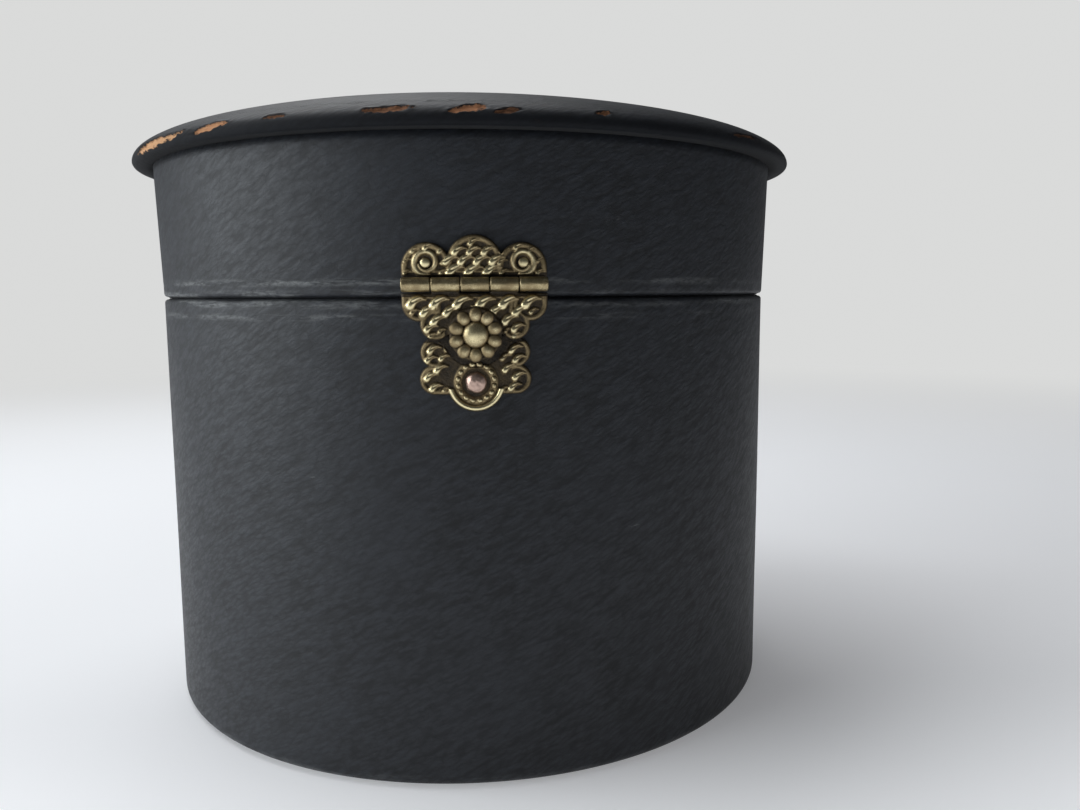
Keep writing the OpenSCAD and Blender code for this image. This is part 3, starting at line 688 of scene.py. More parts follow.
class Relief:  # heights of a stamped sheet over its flat ground, in mm
    def __init__(self, u, v, gap, c):
        self.u, self.v, self.gap, self.c = u, v, gap, c
        self.height = 0.1 * (1 - np.exp(gap / 1.5))
        self.tone = np.full(u.shape, -1.0)  # brightness given to a place apart from its height

    def raiseTo(self, level, where=True):
        self.height = np.where(where, np.maximum(self.height, level), self.height)

    def clear(self, where, level=0.0):
        self.height = np.where(where, level, self.height)

    def stroke(self, points, radii, highs):  # a chain of domes close enough to read as one ridge
        for (pu, pv), r, h in zip(points, radii, highs):
            near = (np.abs(self.u - pu) < r) & (np.abs(self.v - pv) < r)
            e = np.hypot(self.u[near] - pu, self.v[near] - pv) / r
            self.height[near] = np.maximum(self.height[near], h * dome(e))

    def cut(self, start, end, half, depth):  # a groove from start to end
        su, sv = start
        du, dv = end[0] - su, end[1] - sv
        t = np.clip(((self.u - su) * du + (self.v - sv) * dv) / (du * du + dv * dv), 0, 1)
        e = np.hypot(self.u - su - t * du, self.v - sv - t * dv) / half
        self.height -= depth * np.exp(-e * e)

    def leaf(self, cu, cv, size):
        # Leaf tip: round at its lower end, drawn out to the upper right, with a vein
        c = self.c
        a = math.radians(c["leafTilt"])
        long, wide, tall = c["leafLong"] * size, c["leafWide"] * size, c["leafHigh"] * size ** 0.5
        points, radii, highs = [], [], []
        for t in np.linspace(0, 1, 15):
            p = (t - 0.5) * (long - wide * 0.6)
            q = c["leafBend"] * long * (math.sin(math.pi * t) - 0.5)
            points.append((cu + p * math.cos(a) - q * math.sin(a), cv + p * math.sin(a) + q * math.cos(a)))
            radii.append(wide / 2 * (0.32 + 0.68 * math.cos(t * math.pi / 2)))
            highs.append(tall * (1 - 0.45 * t))
        self.stroke(points, radii, highs)
        self.cut(points[3], points[11], 0.15 * size, 0.2)

    def rows(self, *rows):  # count, pitch, height, size
        for count, pitch, level, size in rows:
            for i in range(count):
                self.leaf((i - (count - 1) / 2) * pitch, level, size)

    def pairs(self, *leaves):  # across, height, size
        for side in (-1, 1):
            for across, level, size in leaves:
                self.leaf(side * across, level, size)

    def scroll(self, cu, cv, r, turns, start, side, half, tall):
        points, radii, highs = [], [], []
        for t in np.linspace(0, 1, int(46 * turns) + 1):
            a = math.radians(start) + 2 * math.pi * turns * t
            rr = r * (1 - 0.42 * t)
            points.append((cu + side * rr * math.cos(a), cv + rr * math.sin(a)))
            radii.append(half * (1.1 - 0.35 * t))
            highs.append(tall * (1 - 0.15 * t))
        self.stroke(points, radii, highs)

    def wire(self, off, half, tall, where=True):  # a round wire along the line where off is 0
        self.raiseTo(tall * dome(off / half), where)

    def ring(self, level, r, half, tall, where=True):
        self.wire(np.hypot(self.u, self.v - level) - r, half, tall, where)

    def rim(self, inset, half, tall, where=True):  # a wire that follows the outline
        self.wire(self.gap + inset, half, tall, where)


edgeReach = 0.4  # mm over which a sheet's edge rounds off
knuckleTone, lugTone = 0.66, 0.5  # how rubbed they look, from 0 to 1


def dome(e):
    return np.sqrt(np.clip(1 - e * e, 0, 1))


def outline(u, v, boxes, discs):
    # Joined boxes (half width, bottom, top) and discs (across, height, radius), alike on both sides
    u = np.abs(u)
    gaps = [np.maximum(u - half, np.maximum(bottom - v, v - top)) for half, bottom, top in boxes]
    return np.minimum.reduce(gaps + [np.hypot(u - across, v - level) - r for across, level, r in discs])


def knuckleSpan(index, c):
    w = c["width"] / c["knuckles"]
    centre = (index - (c["knuckles"] - 1) / 2) * w
    return centre, w / 2 - c["barrelGap"] / 2


def atBarrel(u, v, c, sheet, own, side):
    # Cuts the sheet clear of the barrel, but for its own knuckles. side is 1 above the barrel, -1 below it
    reach = np.maximum(-side * v, side * v - 2)
    strips = [np.abs(u - knuckleSpan(i, c)[0]) - knuckleSpan(i, c)[1] for i in own]
    band = np.maximum(np.minimum.reduce(strips), reach)
    return np.minimum(np.maximum(sheet, c["barrelR"] + c["barrelGap"] - side * v), band)


def plateGap(u, v):
    c = clasp
    boxes = [(c["width"] / 2, 0, c["lobeZ"])]
    discs = [(c["width"] / 2 - c["lobeR"], c["lobeZ"], c["lobeR"]), (0, c["middleZ"], c["middleR"])]
    return atBarrel(u, v, c, outline(u, v, boxes, discs), (0, 2, 4), 1)


def plateHeight(r):
    c = clasp
    lobeU = c["width"] / 2 - c["lobeR"]
    r.rim(0.7, 0.65, 0.42, r.v > 2.3)
    r.rows((3, 3.7, 3.1, 1.1), (4, 3.1, 5.1, 0.95), (3, 2.9, 6.9, 0.85), (1, 1.0, 8.5, 0.7))
    for side in (-1, 1):
        r.scroll(side * lobeU, c["scrollZ"] + 0.1, c["scrollR"], 1.2, -95, side, 0.72, 0.75)
    r.pairs((11.6, 6.9, 0.62), (9.0, 7.6, 0.66), (6.2, 6.9, 0.66), (13.3, 4.9, 0.5), (5.7, 4.6, 0.62),
            (13.3, 2.6, 0.55), (6.0, 2.6, 0.6))
    r.clear(np.hypot(np.abs(r.u) - lobeU, r.v - c["scrollZ"]) < 1.25)
    r.clear(r.v < c["barrelR"] + c["barrelGap"] + 0.15)


def haspGap(u, v):
    c = clasp
    half = c["width"] / 2
    boxes = [(half, -c["shoulderZ"], 0), (c["neckU"], -c["rosetteDrop"], 0)]
    discs = [(0, -c["rosetteDrop"], c["rosetteR"]), (c["neckU"], -c["neckZ"], c["neckR"])]
    discs += [(half - c["shoulderR"], -c["shoulderZ"], c["shoulderR"])]
    return atBarrel(u, v, c, outline(u, v, boxes, discs), (1, 3), -1)


def haspHeight(r):
    c = clasp
    drop, seat = -c["rosetteDrop"], c["seatH"]
    rho = np.hypot(r.u, r.v - drop)
    r.rim(0.62, 0.55, 0.4, (r.v < -2.4) & (rho > c["rosetteR"] + 0.8))
    r.rows((6, 4.6, -3.2, 1.15), (5, 4.6, -5.0, 1.0), (2, 14.2, -6.7, 1.0), (2, 17.4, -8.4, 0.85))
    r.pairs((8.4, -10.0, 0.6), (6.6, -9.0, 0.5), (11.9, -5.2, 0.6))
    inside = rho < c["rosetteR"] + 0.35
    r.clear(inside)
    bowl = 0.6 + 0.4 * np.clip((rho - c["domeR"]) / (c["rosetteR"] - c["domeR"]), 0, 1)
    r.raiseTo(seat * bowl * np.clip((c["rosetteR"] + 0.35 - rho) / 0.45, 0, 1), inside)
    r.ring(drop, c["domeR"] + 0.25, 0.3, seat * 0.75, rho < 3.4)
    e = rho / c["domeR"]
    r.raiseTo(seat * 0.75 + c["domeH"] * dome(e), rho < c["domeR"])
    shine = 0.72 * (rho < c["domeR"]) * np.sqrt(np.clip(1 - 0.8 * e * e, 0, 1))
    r.tone = np.where(inside, 0.15 + shine, r.tone)


def haspBack(u, v):
    # Hollow behind the rosette, open downwards, that slips over the stud
    c = clasp
    rho = np.hypot(u, v + c["rosetteDrop"])
    hollow = (rho < c["pocketR"]) | ((np.abs(u) < c["pocketR"]) & (v < -c["rosetteDrop"]))
    return wallMm + c["sheetT"] + c["lift"] + np.where(hollow, c["pocketH"], 0.0)


def catchGap(u, v):
    c = clasp
    boxes = [(c["upperU"], -c["lowerZ"] - c["catchR"], -c["rosetteDrop"])]
    boxes += [(c["stemU"], -c["rivetDrop"], -c["stemZ"])]
    lobes = [(c["upperU"], -c["upperZ"], c["catchR"]), (c["lowerU"], -c["lowerZ"], c["catchR"])]
    return outline(u, v, boxes, lobes + [(0, -c["rivetDrop"], c["tipR"])])


def catchHeight(r):
    c = clasp
    rivetV = -c["rivetDrop"]
    rho = np.hypot(r.u, r.v - rivetV)
    r.rim(0.6, 0.5, 0.38, r.v < -c["rosetteDrop"] - 1.5)
    r.pairs((8.2, -12.7, 0.85), (8.9, -14.7, 0.8), (6.2, -14.4, 0.7), (6.9, -16.6, 0.85),
            (8.9, -18.2, 0.85), (8.0, -20.4, 0.8), (5.9, -20.9, 0.5), (5.2, -12.6, 0.6))
    r.clear(rho < 5.0, 0.08)
    r.ring(rivetV, c["bossR"], 0.9, 0.5)
    r.ring(rivetV, c["tipR"] - 0.75, 0.68, 0.95, r.v < rivetV - 1.2)
    behind = np.hypot(r.u, r.v + c["rosetteDrop"]) < c["rosetteR"] + 1.4
    r.clear(behind | (haspGap(r.u, r.v) < 0.5))  # flat where the hasp lies over it


def cutGrid(gap):
    # Cells of a grid that lie inside gap < 0, cut along its edge
    nu, nv = gap.shape
    spots, faces, edgeVert = [], [], {}
    gridVert = -np.ones(gap.shape, dtype=int)

    def corner(i, j):
        if gridVert[i, j] < 0:
            gridVert[i, j] = len(spots)
            spots.append((i, j))
        return gridVert[i, j]

    def crossing(a, b):
        key = (min(a, b), max(a, b))
        if key not in edgeVert:
            t = min(0.95, max(0.05, gap[a] / (gap[a] - gap[b])))
            edgeVert[key] = len(spots)
            spots.append((a[0] + (b[0] - a[0]) * t, a[1] + (b[1] - a[1]) * t))
        return edgeVert[key]

    inside = gap < 0
    near = np.zeros(gap.shape, dtype=bool)
    near[:-1, :-1] = inside[:-1, :-1] | inside[1:, :-1] | inside[:-1, 1:] | inside[1:, 1:]
    for i, j in zip(*np.nonzero(near)):
        if i >= nu - 1 or j >= nv - 1:
            continue
        corners = [(i, j), (i + 1, j), (i + 1, j + 1), (i, j + 1)]
        face = []
        for n, a in enumerate(corners):
            b = corners[(n + 1) % 4]
            if inside[a]:
                face.append(corner(*a))
            if inside[a] != inside[b]:
                face.append(crossing(a, b))
        if len(face) > 2:
            faces.append(face)
    return np.array(spots, dtype=float), faces


def reliefSheet(name, c, gapOf, heightOf, backOf, extras=(), behind=False, flat=False):
    # Closed sheet on the wall: front raised by its relief, edge rounded over. A flat one keeps its front
    # over a hollow in its back
    us = np.arange(-c["width"] / 2 - 1, c["width"] / 2 + 1, c["cell"])
    vs = np.arange(-c["down"] - 1, c["up"] + 1, c["cell"])
    spots, faces = cutGrid(gapOf(*np.meshgrid(us, vs, indexing="ij")))
    u = us[0] + spots[:, 0] * c["cell"]
    v = vs[0] + spots[:, 1] * c["cell"]
    gap = np.minimum(gapOf(u, v), 0)
    relief = Relief(u, v, gap, c)
    heightOf(relief)
    edge = dome(1 + np.clip(gap / edgeReach, -1, 0))
    back = backOf(u, v)
    front = (np.min(back) if flat else back) + c["sheetT"] * (0.35 + 0.65 * edge) + relief.height * edge

    def onWall(r):
        return np.stack([u, -np.sqrt(r * r - u * u), v + c["pinZ"]], 1)

    count = len(u)
    verts = np.concatenate([onWall(front), onWall(back)]) * mm
    used = {(a, b) for face in faces for a, b in zip(face, face[1:] + face[:1])}
    sides = [[b, a, a + count, b + count] for a, b in sorted(used) if (b, a) not in used]
    allFaces = faces + [[n + count for n in reversed(face)] for face in faces] + sides
    shown = np.where(relief.tone < 0, relief.height * edge / c["leafHigh"], relief.tone)
    level = np.concatenate([shown, np.zeros(count)]).tolist()
    verts = verts.tolist()
    for extraVerts, extraFaces, extraLevel in extras:
        base = len(verts)
        verts += extraVerts
        allFaces += [[n + base for n in face] for face in extraFaces]
        level += [extraLevel] * len(extraVerts)
    if behind:
        verts = [(-x, -y, z) for x, y, z in verts]
    return linkPiece(name, verts, allFaces, {"relief": level})


def knuckle(index, c):
    # One barrel knuckle: a short rolled tube with eased, lightly dented ends
    centre, half = knuckleSpan(index, c)
    r, ease = c["barrelR"], 0.22
    profile = [(0.0, -half), (0.6, -half)]
    profile += arcPoints(r - ease, -half + ease, ease, -90, 0, 4)
    profile += arcPoints(r - ease, half - ease, ease, 0, 90, 4)
    profile += [(0.6, half), (0.0, half)]

    def worn(rr, z, a, n):
        spot = Vector((rr * math.cos(a), rr * math.sin(a), (centre + z) * 0.6)) * 0.9
        return rr * (1 + 0.035 * noise.noise(spot) - 0.03), z

    verts, faces = lathe(fillLine(profile, 0.5), 40, False, worn)
    placed = [((centre + z) * mm, (c["pinY"] + x) * mm, (c["pinZ"] + y) * mm) for x, y, z in verts]
    return placed, faces, knuckleTone


wallMm = bodyR / mm + clasp["bond"]


def lidBackOf(c):  # the lid's wall leans out upwards
    return lambda u, v: wallMm + lidLean / mm * (v + c["pinZ"] - lidEdgeMm) / (lipMm - lidEdgeMm)


def bodyBack(u, v):
    return wallMm + 0 * u


outerKnuckles, innerKnuckles = [knuckle(i, clasp) for i in (0, 2, 4)], [knuckle(i, clasp) for i in (1, 3)]
plate = reliefSheet("claspLidPlate", clasp, plateGap, plateHeight, lidBackOf(clasp), outerKnuckles)
finishPiece(plate, "lid", stampedBrass, "aged_brass", "clasp_plate")
hasp = reliefSheet("claspHasp", clasp, haspGap, haspHeight, haspBack, innerKnuckles, flat=True)
finishPiece(hasp, "clasp_hasp", stampedBrass, "aged_brass", "hasp")
catch = reliefSheet("claspCatchPlate", clasp, catchGap, catchHeight, bodyBack)
finishPiece(catch, "base", stampedBrass, "aged_brass", "catch_plate")
print("clasp sheets made")


# Back hinge: two plain leaves with an engraved line, made as if at the front and then turned to the back

hinge = {
    "width": high("hinge_pin")[0] * 2 / mm,
    "pinY": -middle("hinge_pin")[1] / mm,
    "pinZ": middle("hinge_pin")[2] / mm,
    "barrelR": 1.5,
    "barrelGap": 0.2,
    "sheetT": 0.8,
    "cell": 0.2,
    "down": 13.0, "up": 13.0,
    "knuckles": 5,
    "leafHigh": 0.5,
    "leafH": 13.0, "cornerR": 3.0, "lineIn": 1.25, "rivetU": 9.0, "rivetV": 8.5, "rivetR": 1.7,
    # Stop lug on the middle knuckle: size, turn (degrees), reach past the barrel, gap to the wall
    "lug": (4.0, 2.6, 0.9), "lugTurn": -15, "lugReach": 2.0, "lugClear": 1.15,
}


def leafGap(u, v, side):  # one leaf with rounded outer corners
    c, r = hinge, hinge["cornerR"]
    across, out = np.abs(u) - (c["width"] / 2 - r), side * v - (c["leafH"] - r)
    return np.hypot(np.maximum(across, 0), np.maximum(out, 0)) - r


def leafHeightOf(side):
    def heightOf(r):
        c = hinge
        line = np.exp(-((leafGap(r.u, r.v, side) + c["lineIn"]) / 0.24) ** 2)
        for s in (-1, 1):
            rho = np.hypot(r.u - s * c["rivetU"], side * r.v - c["rivetV"])
            line = np.maximum(line, np.exp(-((rho - c["rivetR"] - 0.45) / 0.22) ** 2))
        wear = np.array([noise.noise(Vector((a * 0.3, b * 0.3, side))) for a, b in zip(r.u, r.v)])
        r.height = 0.04 * wear - 0.14 * line
        r.tone = np.clip(0.52 + 0.3 * wear + 0.25 * (r.gap > -0.5) - 0.6 * line, 0, 1)
    return heightOf


def stopLug(c):
    wide, long, thick = c["lug"]
    bm = bmesh.new()
    bmesh.ops.create_cube(bm, size=1, matrix=Matrix.Diagonal((wide, long, thick, 1)))
    bmesh.ops.bevel(bm, geom=bm.edges[:], offset=0.2, segments=3, affect="EDGES")
    near = c["barrelR"] + c["lugReach"] - long / 2
    face = -c["pinY"] - bodyR / mm - c["lugClear"]
    tilt = Matrix.Rotation(math.radians(c["lugTurn"]), 4, "X")
    bm.transform(tilt @ Matrix.Translation((0, near, face - thick / 2)))
    spots = [v.co for v in bm.verts]
    verts = [(-x * mm, (c["pinY"] - y) * mm, (c["pinZ"] + z) * mm) for x, y, z in spots]
    faces = [[v.index for v in f.verts] for f in bm.faces]
    bm.free()
    return verts, faces, lugTone


def makeLeaf(name, side, own, back, extras, body, node):
    def gapOf(u, v):
        return atBarrel(u, v, hinge, leafGap(u, v, side), own, side)

    rolled = [knuckle(i, hinge) for i in own] + extras
    leaf = reliefSheet(name, hinge, gapOf, leafHeightOf(side), back, rolled, behind=True)
    finishPiece(leaf, body, wornBrass, "plain_brass", node)


wornBrass = reliefFinish("wornBrass")
makeLeaf("hingeBodyLeaf", -1, (0, 2, 4), bodyBack, [stopLug(hinge)], "base", "hinge_body_leaf")
makeLeaf("hingeLidLeaf", 1, (1, 3), lidBackOf(hinge), [], "lid", "hinge_lid_leaf")
print("hinge leaves made")


# Petals and beads: rounded bosses set in a ring by Geometry Nodes

petals = {
    "Count": 10, "Ring Radius": 4.0 * mm, "Boss Radius": 1.36 * mm, "Boss Length": 1.55 * mm,
    "Boss Height": 0.72 * mm, "Tone": 0.74,
}
bossBeads = {
    "Count": 16, "Ring Radius": 3.7 * mm, "Boss Radius": 0.74 * mm, "Boss Length": 0.6 * mm,
    "Boss Height": 0.62 * mm, "Tone": 0.8,
}


def makeRingTree():
    g = Growth("bossRing", {
        "Geometry": "Geometry", "Count": "Int", "Ring Radius": "Float", "Boss Radius": "Float",
        "Boss Length": "Float", "Boss Height": "Float", "Tone": "Float", "Material": "Material",
    })
    circle = g.node("MeshCircle", {}, {"Vertices": g.given("Count"), "Radius": g.given("Ring Radius")})
    ball = g.node("MeshUVSphere", {}, {"Segments": 24, "Rings": 14, "Radius": 1.0})
    up = g.add("ShaderNodeSeparateXYZ", {}, {0: g.node("InputPosition")}, 2)
    marked = g.node(
        "StoreNamedAttribute", {"data_type": "FLOAT", "domain": "POINT"},
        {"Geometry": ball, "Name": "relief", "Value": up * g.given("Tone")},
    )
    sizes = [g.given("Boss " + side) for side in ("Length", "Radius", "Height")]
    size = g.add("ShaderNodeCombineXYZ", {}, dict(enumerate(sizes)))
    spin = g.add("ShaderNodeCombineXYZ", {}, {2: g.node("InputIndex") / g.given("Count") * (2 * math.pi)})
    return g.stand(circle, marked, spin, size)


def bossRing(name, values, drop, r, body):
    # A ring stood on the wall's front at radius r (mm), drop below the clasp's axis
    piece = ringTree.grow(name, bpy.data.meshes.new(name + "Base"), {**values, "Material": stampedBrass})
    upright = Matrix(((1, 0, 0), (0, 0, -1), (0, 1, 0))).to_4x4()
    half = Matrix.Rotation(math.pi / values["Count"], 4, "Z")
    piece.data.transform(Matrix.Translation((0, -r * mm, (clasp["pinZ"] - drop) * mm)) @ upright @ half)
    finishPiece(piece, body, stampedBrass, "aged_brass")


ringTree = makeRingTree()
haspSeat = wallMm + 2 * clasp["sheetT"] + clasp["lift"] + clasp["seatH"]
bossRing("rosettePetals", petals, clasp["rosetteDrop"], haspSeat - 0.1, "clasp_hasp")
bossRing("catchBeads", bossBeads, clasp["rivetDrop"], wallMm + clasp["sheetT"] + 0.2, "base")
print("petals and beads made")


# Rivets and nails: one turned head for each kind, stood on the points of a small mesh. Sizes in mm,
# seat from the wall to the head

heads = {
    "hingeRivet": {"r": 1.7, "h": 0.8, "rim": 0.18, "shank": 3.8, "seat": 0.98, "lidMore": 0.06},
    "claspNail": {"r": 1.1, "h": 0.6, "rim": 0.12, "shank": 3.6, "seat": 0.78},
}


def turnedHead(name, s):
    # Domed head with a small upright rim, on a shank that runs into the wall
    r, h, rim, shank = s["r"] * mm, s["h"] * mm, s["rim"] * mm, s["shank"] * mm
    profile = [(0.0, -shank), (r * 0.3, -shank), (r * 0.3, 0.0), (r * 0.96, 0.0), (r, rim * 0.4), (r, rim)]
    for i in range(1, 8):
        a = math.pi / 2 * i / 8
        profile.append((r * math.cos(a), rim + (h - rim) * math.sin(a)))
    verts, faces = lathe(profile + [(0.0, h)], 32, False)
    level = [0.25 + 0.75 * max(0.0, v[2]) / h for v in verts]
    return linkPiece(name, verts, faces, {"relief": level})


def makeStandTree():
    g = Growth("standOnPoints", {
        "Geometry": "Geometry", "Head": "Object", "Head Scale": "Float", "Material": "Material",
    })
    head = g.node("ObjectInfo", {}, {"Object": g.given("Head")}, 4)
    points = g.node("MeshToPoints", {}, {0: g.given("Geometry")})
    out = g.node("InputNamedAttribute", {"data_type": "FLOAT_VECTOR"}, {"Name": "outward"})
    turn = g.add("FunctionNodeAlignRotationToVector", {"axis": "Z"}, {"Vector": out})
    return g.stand(points, head, turn, g.given("Head Scale"))


def standHeads(name, head, spots, body, material, slotName, node):
    # spots are azimuth (radians from the front), radius and height
    base = bpy.data.meshes.new(name + "Base")
    outs = [(math.sin(a), -math.cos(a), 0.0) for a, r, z in spots]
    base.from_pydata([(o[0] * r, o[1] * r, z) for o, (a, r, z) in zip(outs, spots)], [], [])
    layer = base.attributes.new("outward", "FLOAT_VECTOR", "POINT")
    layer.data.foreach_set("vector", np.array(outs, dtype=np.float32).ravel())
    piece = standTree.grow(name, base, {"Head": head, "Head Scale": 1.0, "Material": material})
    finishPiece(piece, body, material, slotName, node)


standTree = makeStandTree()
rivetHead = turnedHead("rivetHead", heads["hingeRivet"])
nailHead = turnedHead("nailHead", heads["claspNail"])


def hingeSpots(node, onLid):
    s, z = heads["hingeRivet"], middle(node)[2]
    front = bodyR + s["seat"] * mm
    u = (high(node)[0] - s["r"] * mm) / front
    lean = lidWallR(z) - bodyR + s["lidMore"] * mm if onLid else 0
    return [(math.pi + side * u, front + lean, z) for side in (-1, 1)]


def nailSpots(node):
    s, z = heads["claspNail"], middle(node)[2]
    u = (high(node)[0] - s["r"] * mm) / bodyR
    return [(side * u, lidWallR(z + s["r"] * mm) + s["seat"] * mm, z) for side in (-1, 1)]


hingeRows = [("hingeBodyRivets", "hinge_body_rivets", "base"), ("hingeLidRivets", "hinge_lid_rivets", "lid")]
for name, node, body in hingeRows:
    spots = hingeSpots(node, body == "lid")
    standHeads(name, rivetHead, spots, body, wornBrass, "plain_brass", node)
spots = nailSpots("clasp_nails")
standHeads("claspNails", nailHead, spots, "lid", stampedBrass, "aged_brass", "clasp_nails")
for template in (rivetHead, nailHead):
    bpy.data.objects.remove(template)


# Stud and catch rivet: turned heads

studShank = [(0, -3.5), (0.45, -3.5)]
studs = {
    "stud": studShank + [(0.45, 0.25)] + arcPoints(1.25, 0.62, 0.35, -90, 60, 6) + [(0.7, 1.16), (0, 1.27)],
    "rivet": studShank + [
        (0.45, 0), (2.1, 0), (2.2, 0.12), (2.12, 0.5), (1.85, 0.95), (1.35, 1.3), (0.7, 1.46), (0, 1.5),
    ],
}


def turnedPiece(name, profile, material, slotName, node, lump):
    # A turned head on the front wall, from (radius, height above its seat) in mm
    def worn(r, z, a, n):
        spot = Vector((r * math.cos(a), r * math.sin(a), z)) * 0.9
        return r * (1 + lump * noise.noise(spot)), z * (1 + lump * noise.noise(spot * 1.7))

    verts, faces = lathe(fillLine(profile, 0.25), 40, False, worn)
    front, z, top = low(node)[1], middle(node)[2], profile[-1][1]
    placed = [(x * mm, front + (top - h) * mm, z + y * mm) for x, y, h in verts]
    finishPiece(linkPiece(name, placed, faces), "base", material, slotName, node)


turnedPiece("catchStud", studs["stud"], plainBrass, "plain_brass", "catch_stud", 0.0)
turnedPiece("catchRivet", studs["rivet"], rivetCopper, "copper_rivet", "catch_rivet", 0.07)
print("rivets, nails and stud made")


# Satin and board finishes

def boardFinish():
    f = Finish("pasteboard", Specular_IOR_Level=0.2)
    x, y, z = f.place()
    spot = f.vector(x, y, z)
    plies = (z * 7.5 + f.grain(spot, 0.4, 2.0) * 2).wave()
    fibre = f.grain(spot, 3.0, 4.0, 0.7)
    colour = f.blend(fibre.step(0.3, 0.7), rgb(0.30, 0.20, 0.11), rgb(0.50, 0.36, 0.21))
    colour = f.blend(plies.step(0.2, 1.0) * 0.35, colour, rgb(0.22, 0.14, 0.08))
    rough = fibre.between(0.8, 0.95)
    return f.feed(Base_Color=colour, Roughness=rough, Normal=f.bump(fibre, 0.08 * mm, 0.7))


def paperFinish():
    f = Finish("basePaper", Specular_IOR_Level=0.25)
    spot = f.vector(*f.place())
    fibre = f.grain(spot, 1.6, 5.0, 0.7)
    stain = f.grain(spot, 0.05, 4.0, 0.6)
    rubbed = f.grain(spot, 0.3, 5.0, 0.75).step(0.55, 0.7)
    colour = f.blend(fibre.step(0.35, 0.65), rgb(0.035, 0.03, 0.028), rgb(0.075, 0.065, 0.058))
    colour = f.blend(stain.step(0.5, 0.7) * 0.5, colour, rgb(0.13, 0.105, 0.08))
    colour = f.blend(rubbed * 0.3, colour, rgb(0.24, 0.19, 0.14))
    rough = fibre.between(0.75, 0.95)
    return f.feed(Base_Color=colour, Roughness=rough, Normal=f.bump(fibre, 0.06 * mm, 0.6))


def satinFinish(name, base, deep, r=None):
    # Threads run round and up a wall of radius r (mm), or across a flat pad where there is no r
    f = Finish(name, Specular_IOR_Level=0.7, Sheen_Weight=0.3, Sheen_Roughness=0.3)
    x, y, z = f.place()
    across, up = (f.round(x, y, r), z) if r else (x, y)
    weft = (up * 18.0).wave() * 0.5 + 0.5
    warp = (across * 14.0).wave() * 0.5 + 0.5
    slub = f.grain(f.vector(across * 0.25, up * 2.5, 0.0), 1.0, 3.0, 0.6)
    spot = f.vector(x, y, z)
    age = f.grain(spot, 0.045, 4.0, 0.6)
    spots = f.grain(spot, 0.22, 5.0, 0.7)
    colour = f.blend(age.step(0.35, 0.75) * 0.7, base, deep)
    colour = f.blend(slub.step(0.5, 0.8) * 0.3, colour, deep)
    colour = f.blend(spots.step(0.66, 0.74) * 0.3, colour, rgb(0.25, 0.16, 0.08))
    rough = slub.between(0.26, 0.42)
    weave = weft * 0.5 + warp * 0.3 + slub * 0.6
    return f.feed(Base_Color=colour, Roughness=rough, Normal=f.bump(weave, 0.04 * mm, 0.5))


board = boardFinish()
champagne, champagneDeep = rgb(0.70, 0.58, 0.40), rgb(0.54, 0.41, 0.25)
gold, goldDeep = rgb(0.58, 0.42, 0.235), rgb(0.42, 0.28, 0.14)
wallThreadR, cupThreadR = 77.4, 31  # mm
liningSatin = satinFinish("liningSatin", champagne, champagneDeep, wallThreadR)
padSatin = satinFinish("padSatin", champagne, champagneDeep)
cupSatin = satinFinish("cupSatin", gold, goldDeep, cupThreadR)
cupPadSatin = satinFinish("cupPadSatin", gold, goldDeep)
cotton = satinFinish("cottonWadding", rgb(0.74, 0.70, 0.60), rgb(0.62, 0.56, 0.44))


# Linings and cup coverings: satin laid on card in soft upright gathers

lidInset = 4.1 * mm  # from the outside of the lid's wall to its lining
gathers = {  # sizes in mm
    "lining": {"t": 1.0, "folds": 13, "depth": 0.95, "segments": 720, "row": 4.0, "edge": 0.3},
    "cup": {
        "t": 0.5, "folds": 7, "depth": 0.5, "segments": 480, "row": 3.0, "edge": 0.3, "rimR": 0.45,
        "overRim": 0.15,
    },
    "cupLid": {"folds": 9, "segments": 240, "row": 2.5, "edgeR": 0.7, "sag": 0.18},
}


def gatherShift(s, moves, z0, z1, sign):
    # Pinched folds that are deepest at the two edges where the satin is caught
    def shift(r, z, a, n):
        if not moves(n):
            return r, z
        spot = ringSpot(a, s["folds"])
        fold = abs(noise.noise(spot + Vector((0, 0, z / mm * 0.03))))
        fine = ripple(spot * 2.7 + Vector((0, 0, z / mm * 0.05)))
        t = (z - z0) / (z1 - z0)
        edge = 0.45 + 0.55 * (2 * abs(t - 0.5)) ** 1.5
        crease = min(1.0, fold * 2.2)
        return r + sign * s["depth"] * mm * edge * (1 - crease * 0.75 - fine * 0.25), z
    return shift


def gatheredLining(name, s, outer, body, material, slotName, node):
    # Tube gathered on its inner face. outer gives its outer radius at a height
    t, e, z0, z1 = s["t"] * mm, s["edge"] * mm, low(node)[2], high(node)[2]
    line = [(outer(z) - t + inset, z) for z, inset in ((z0, e), (z0 + e, 0), (z1 - e, 0), (z1, e))]
    face = fillLine(line, s["row"] * mm)
    rest = fillLine([(outer(z1), z1), (outer(z0), z0)], 12 * mm)
    shift = gatherShift(s, lambda n: 2 <= n < len(face) - 2, z0, z1, 1)
    piece = linkPiece(name, *lathe(face + rest, s["segments"], True, shift))
    finishPiece(piece, body, material, slotName, node)


def bodyLiningR(z):
    return high("body_lining")[0]


def lidLiningR(z):
    return lidWallR(z) - lidInset


def cupLiningR(z):
    return cupInner


cupOuter, cupInner = high("cup_cover")[0], high("cup_lining")[0]
lining, cup = gathers["lining"], gathers["cup"]
gatheredLining("bodyLining", lining, bodyLiningR, "base", liningSatin, "satin_lining", "body_lining")
gatheredLining("lidLining", lining, lidLiningR, "lid", liningSatin, "satin_lining", "lid_lining")
gatheredLining("cupLining", cup, cupLiningR, "base", cupSatin, "satin_cup", "cup_lining")


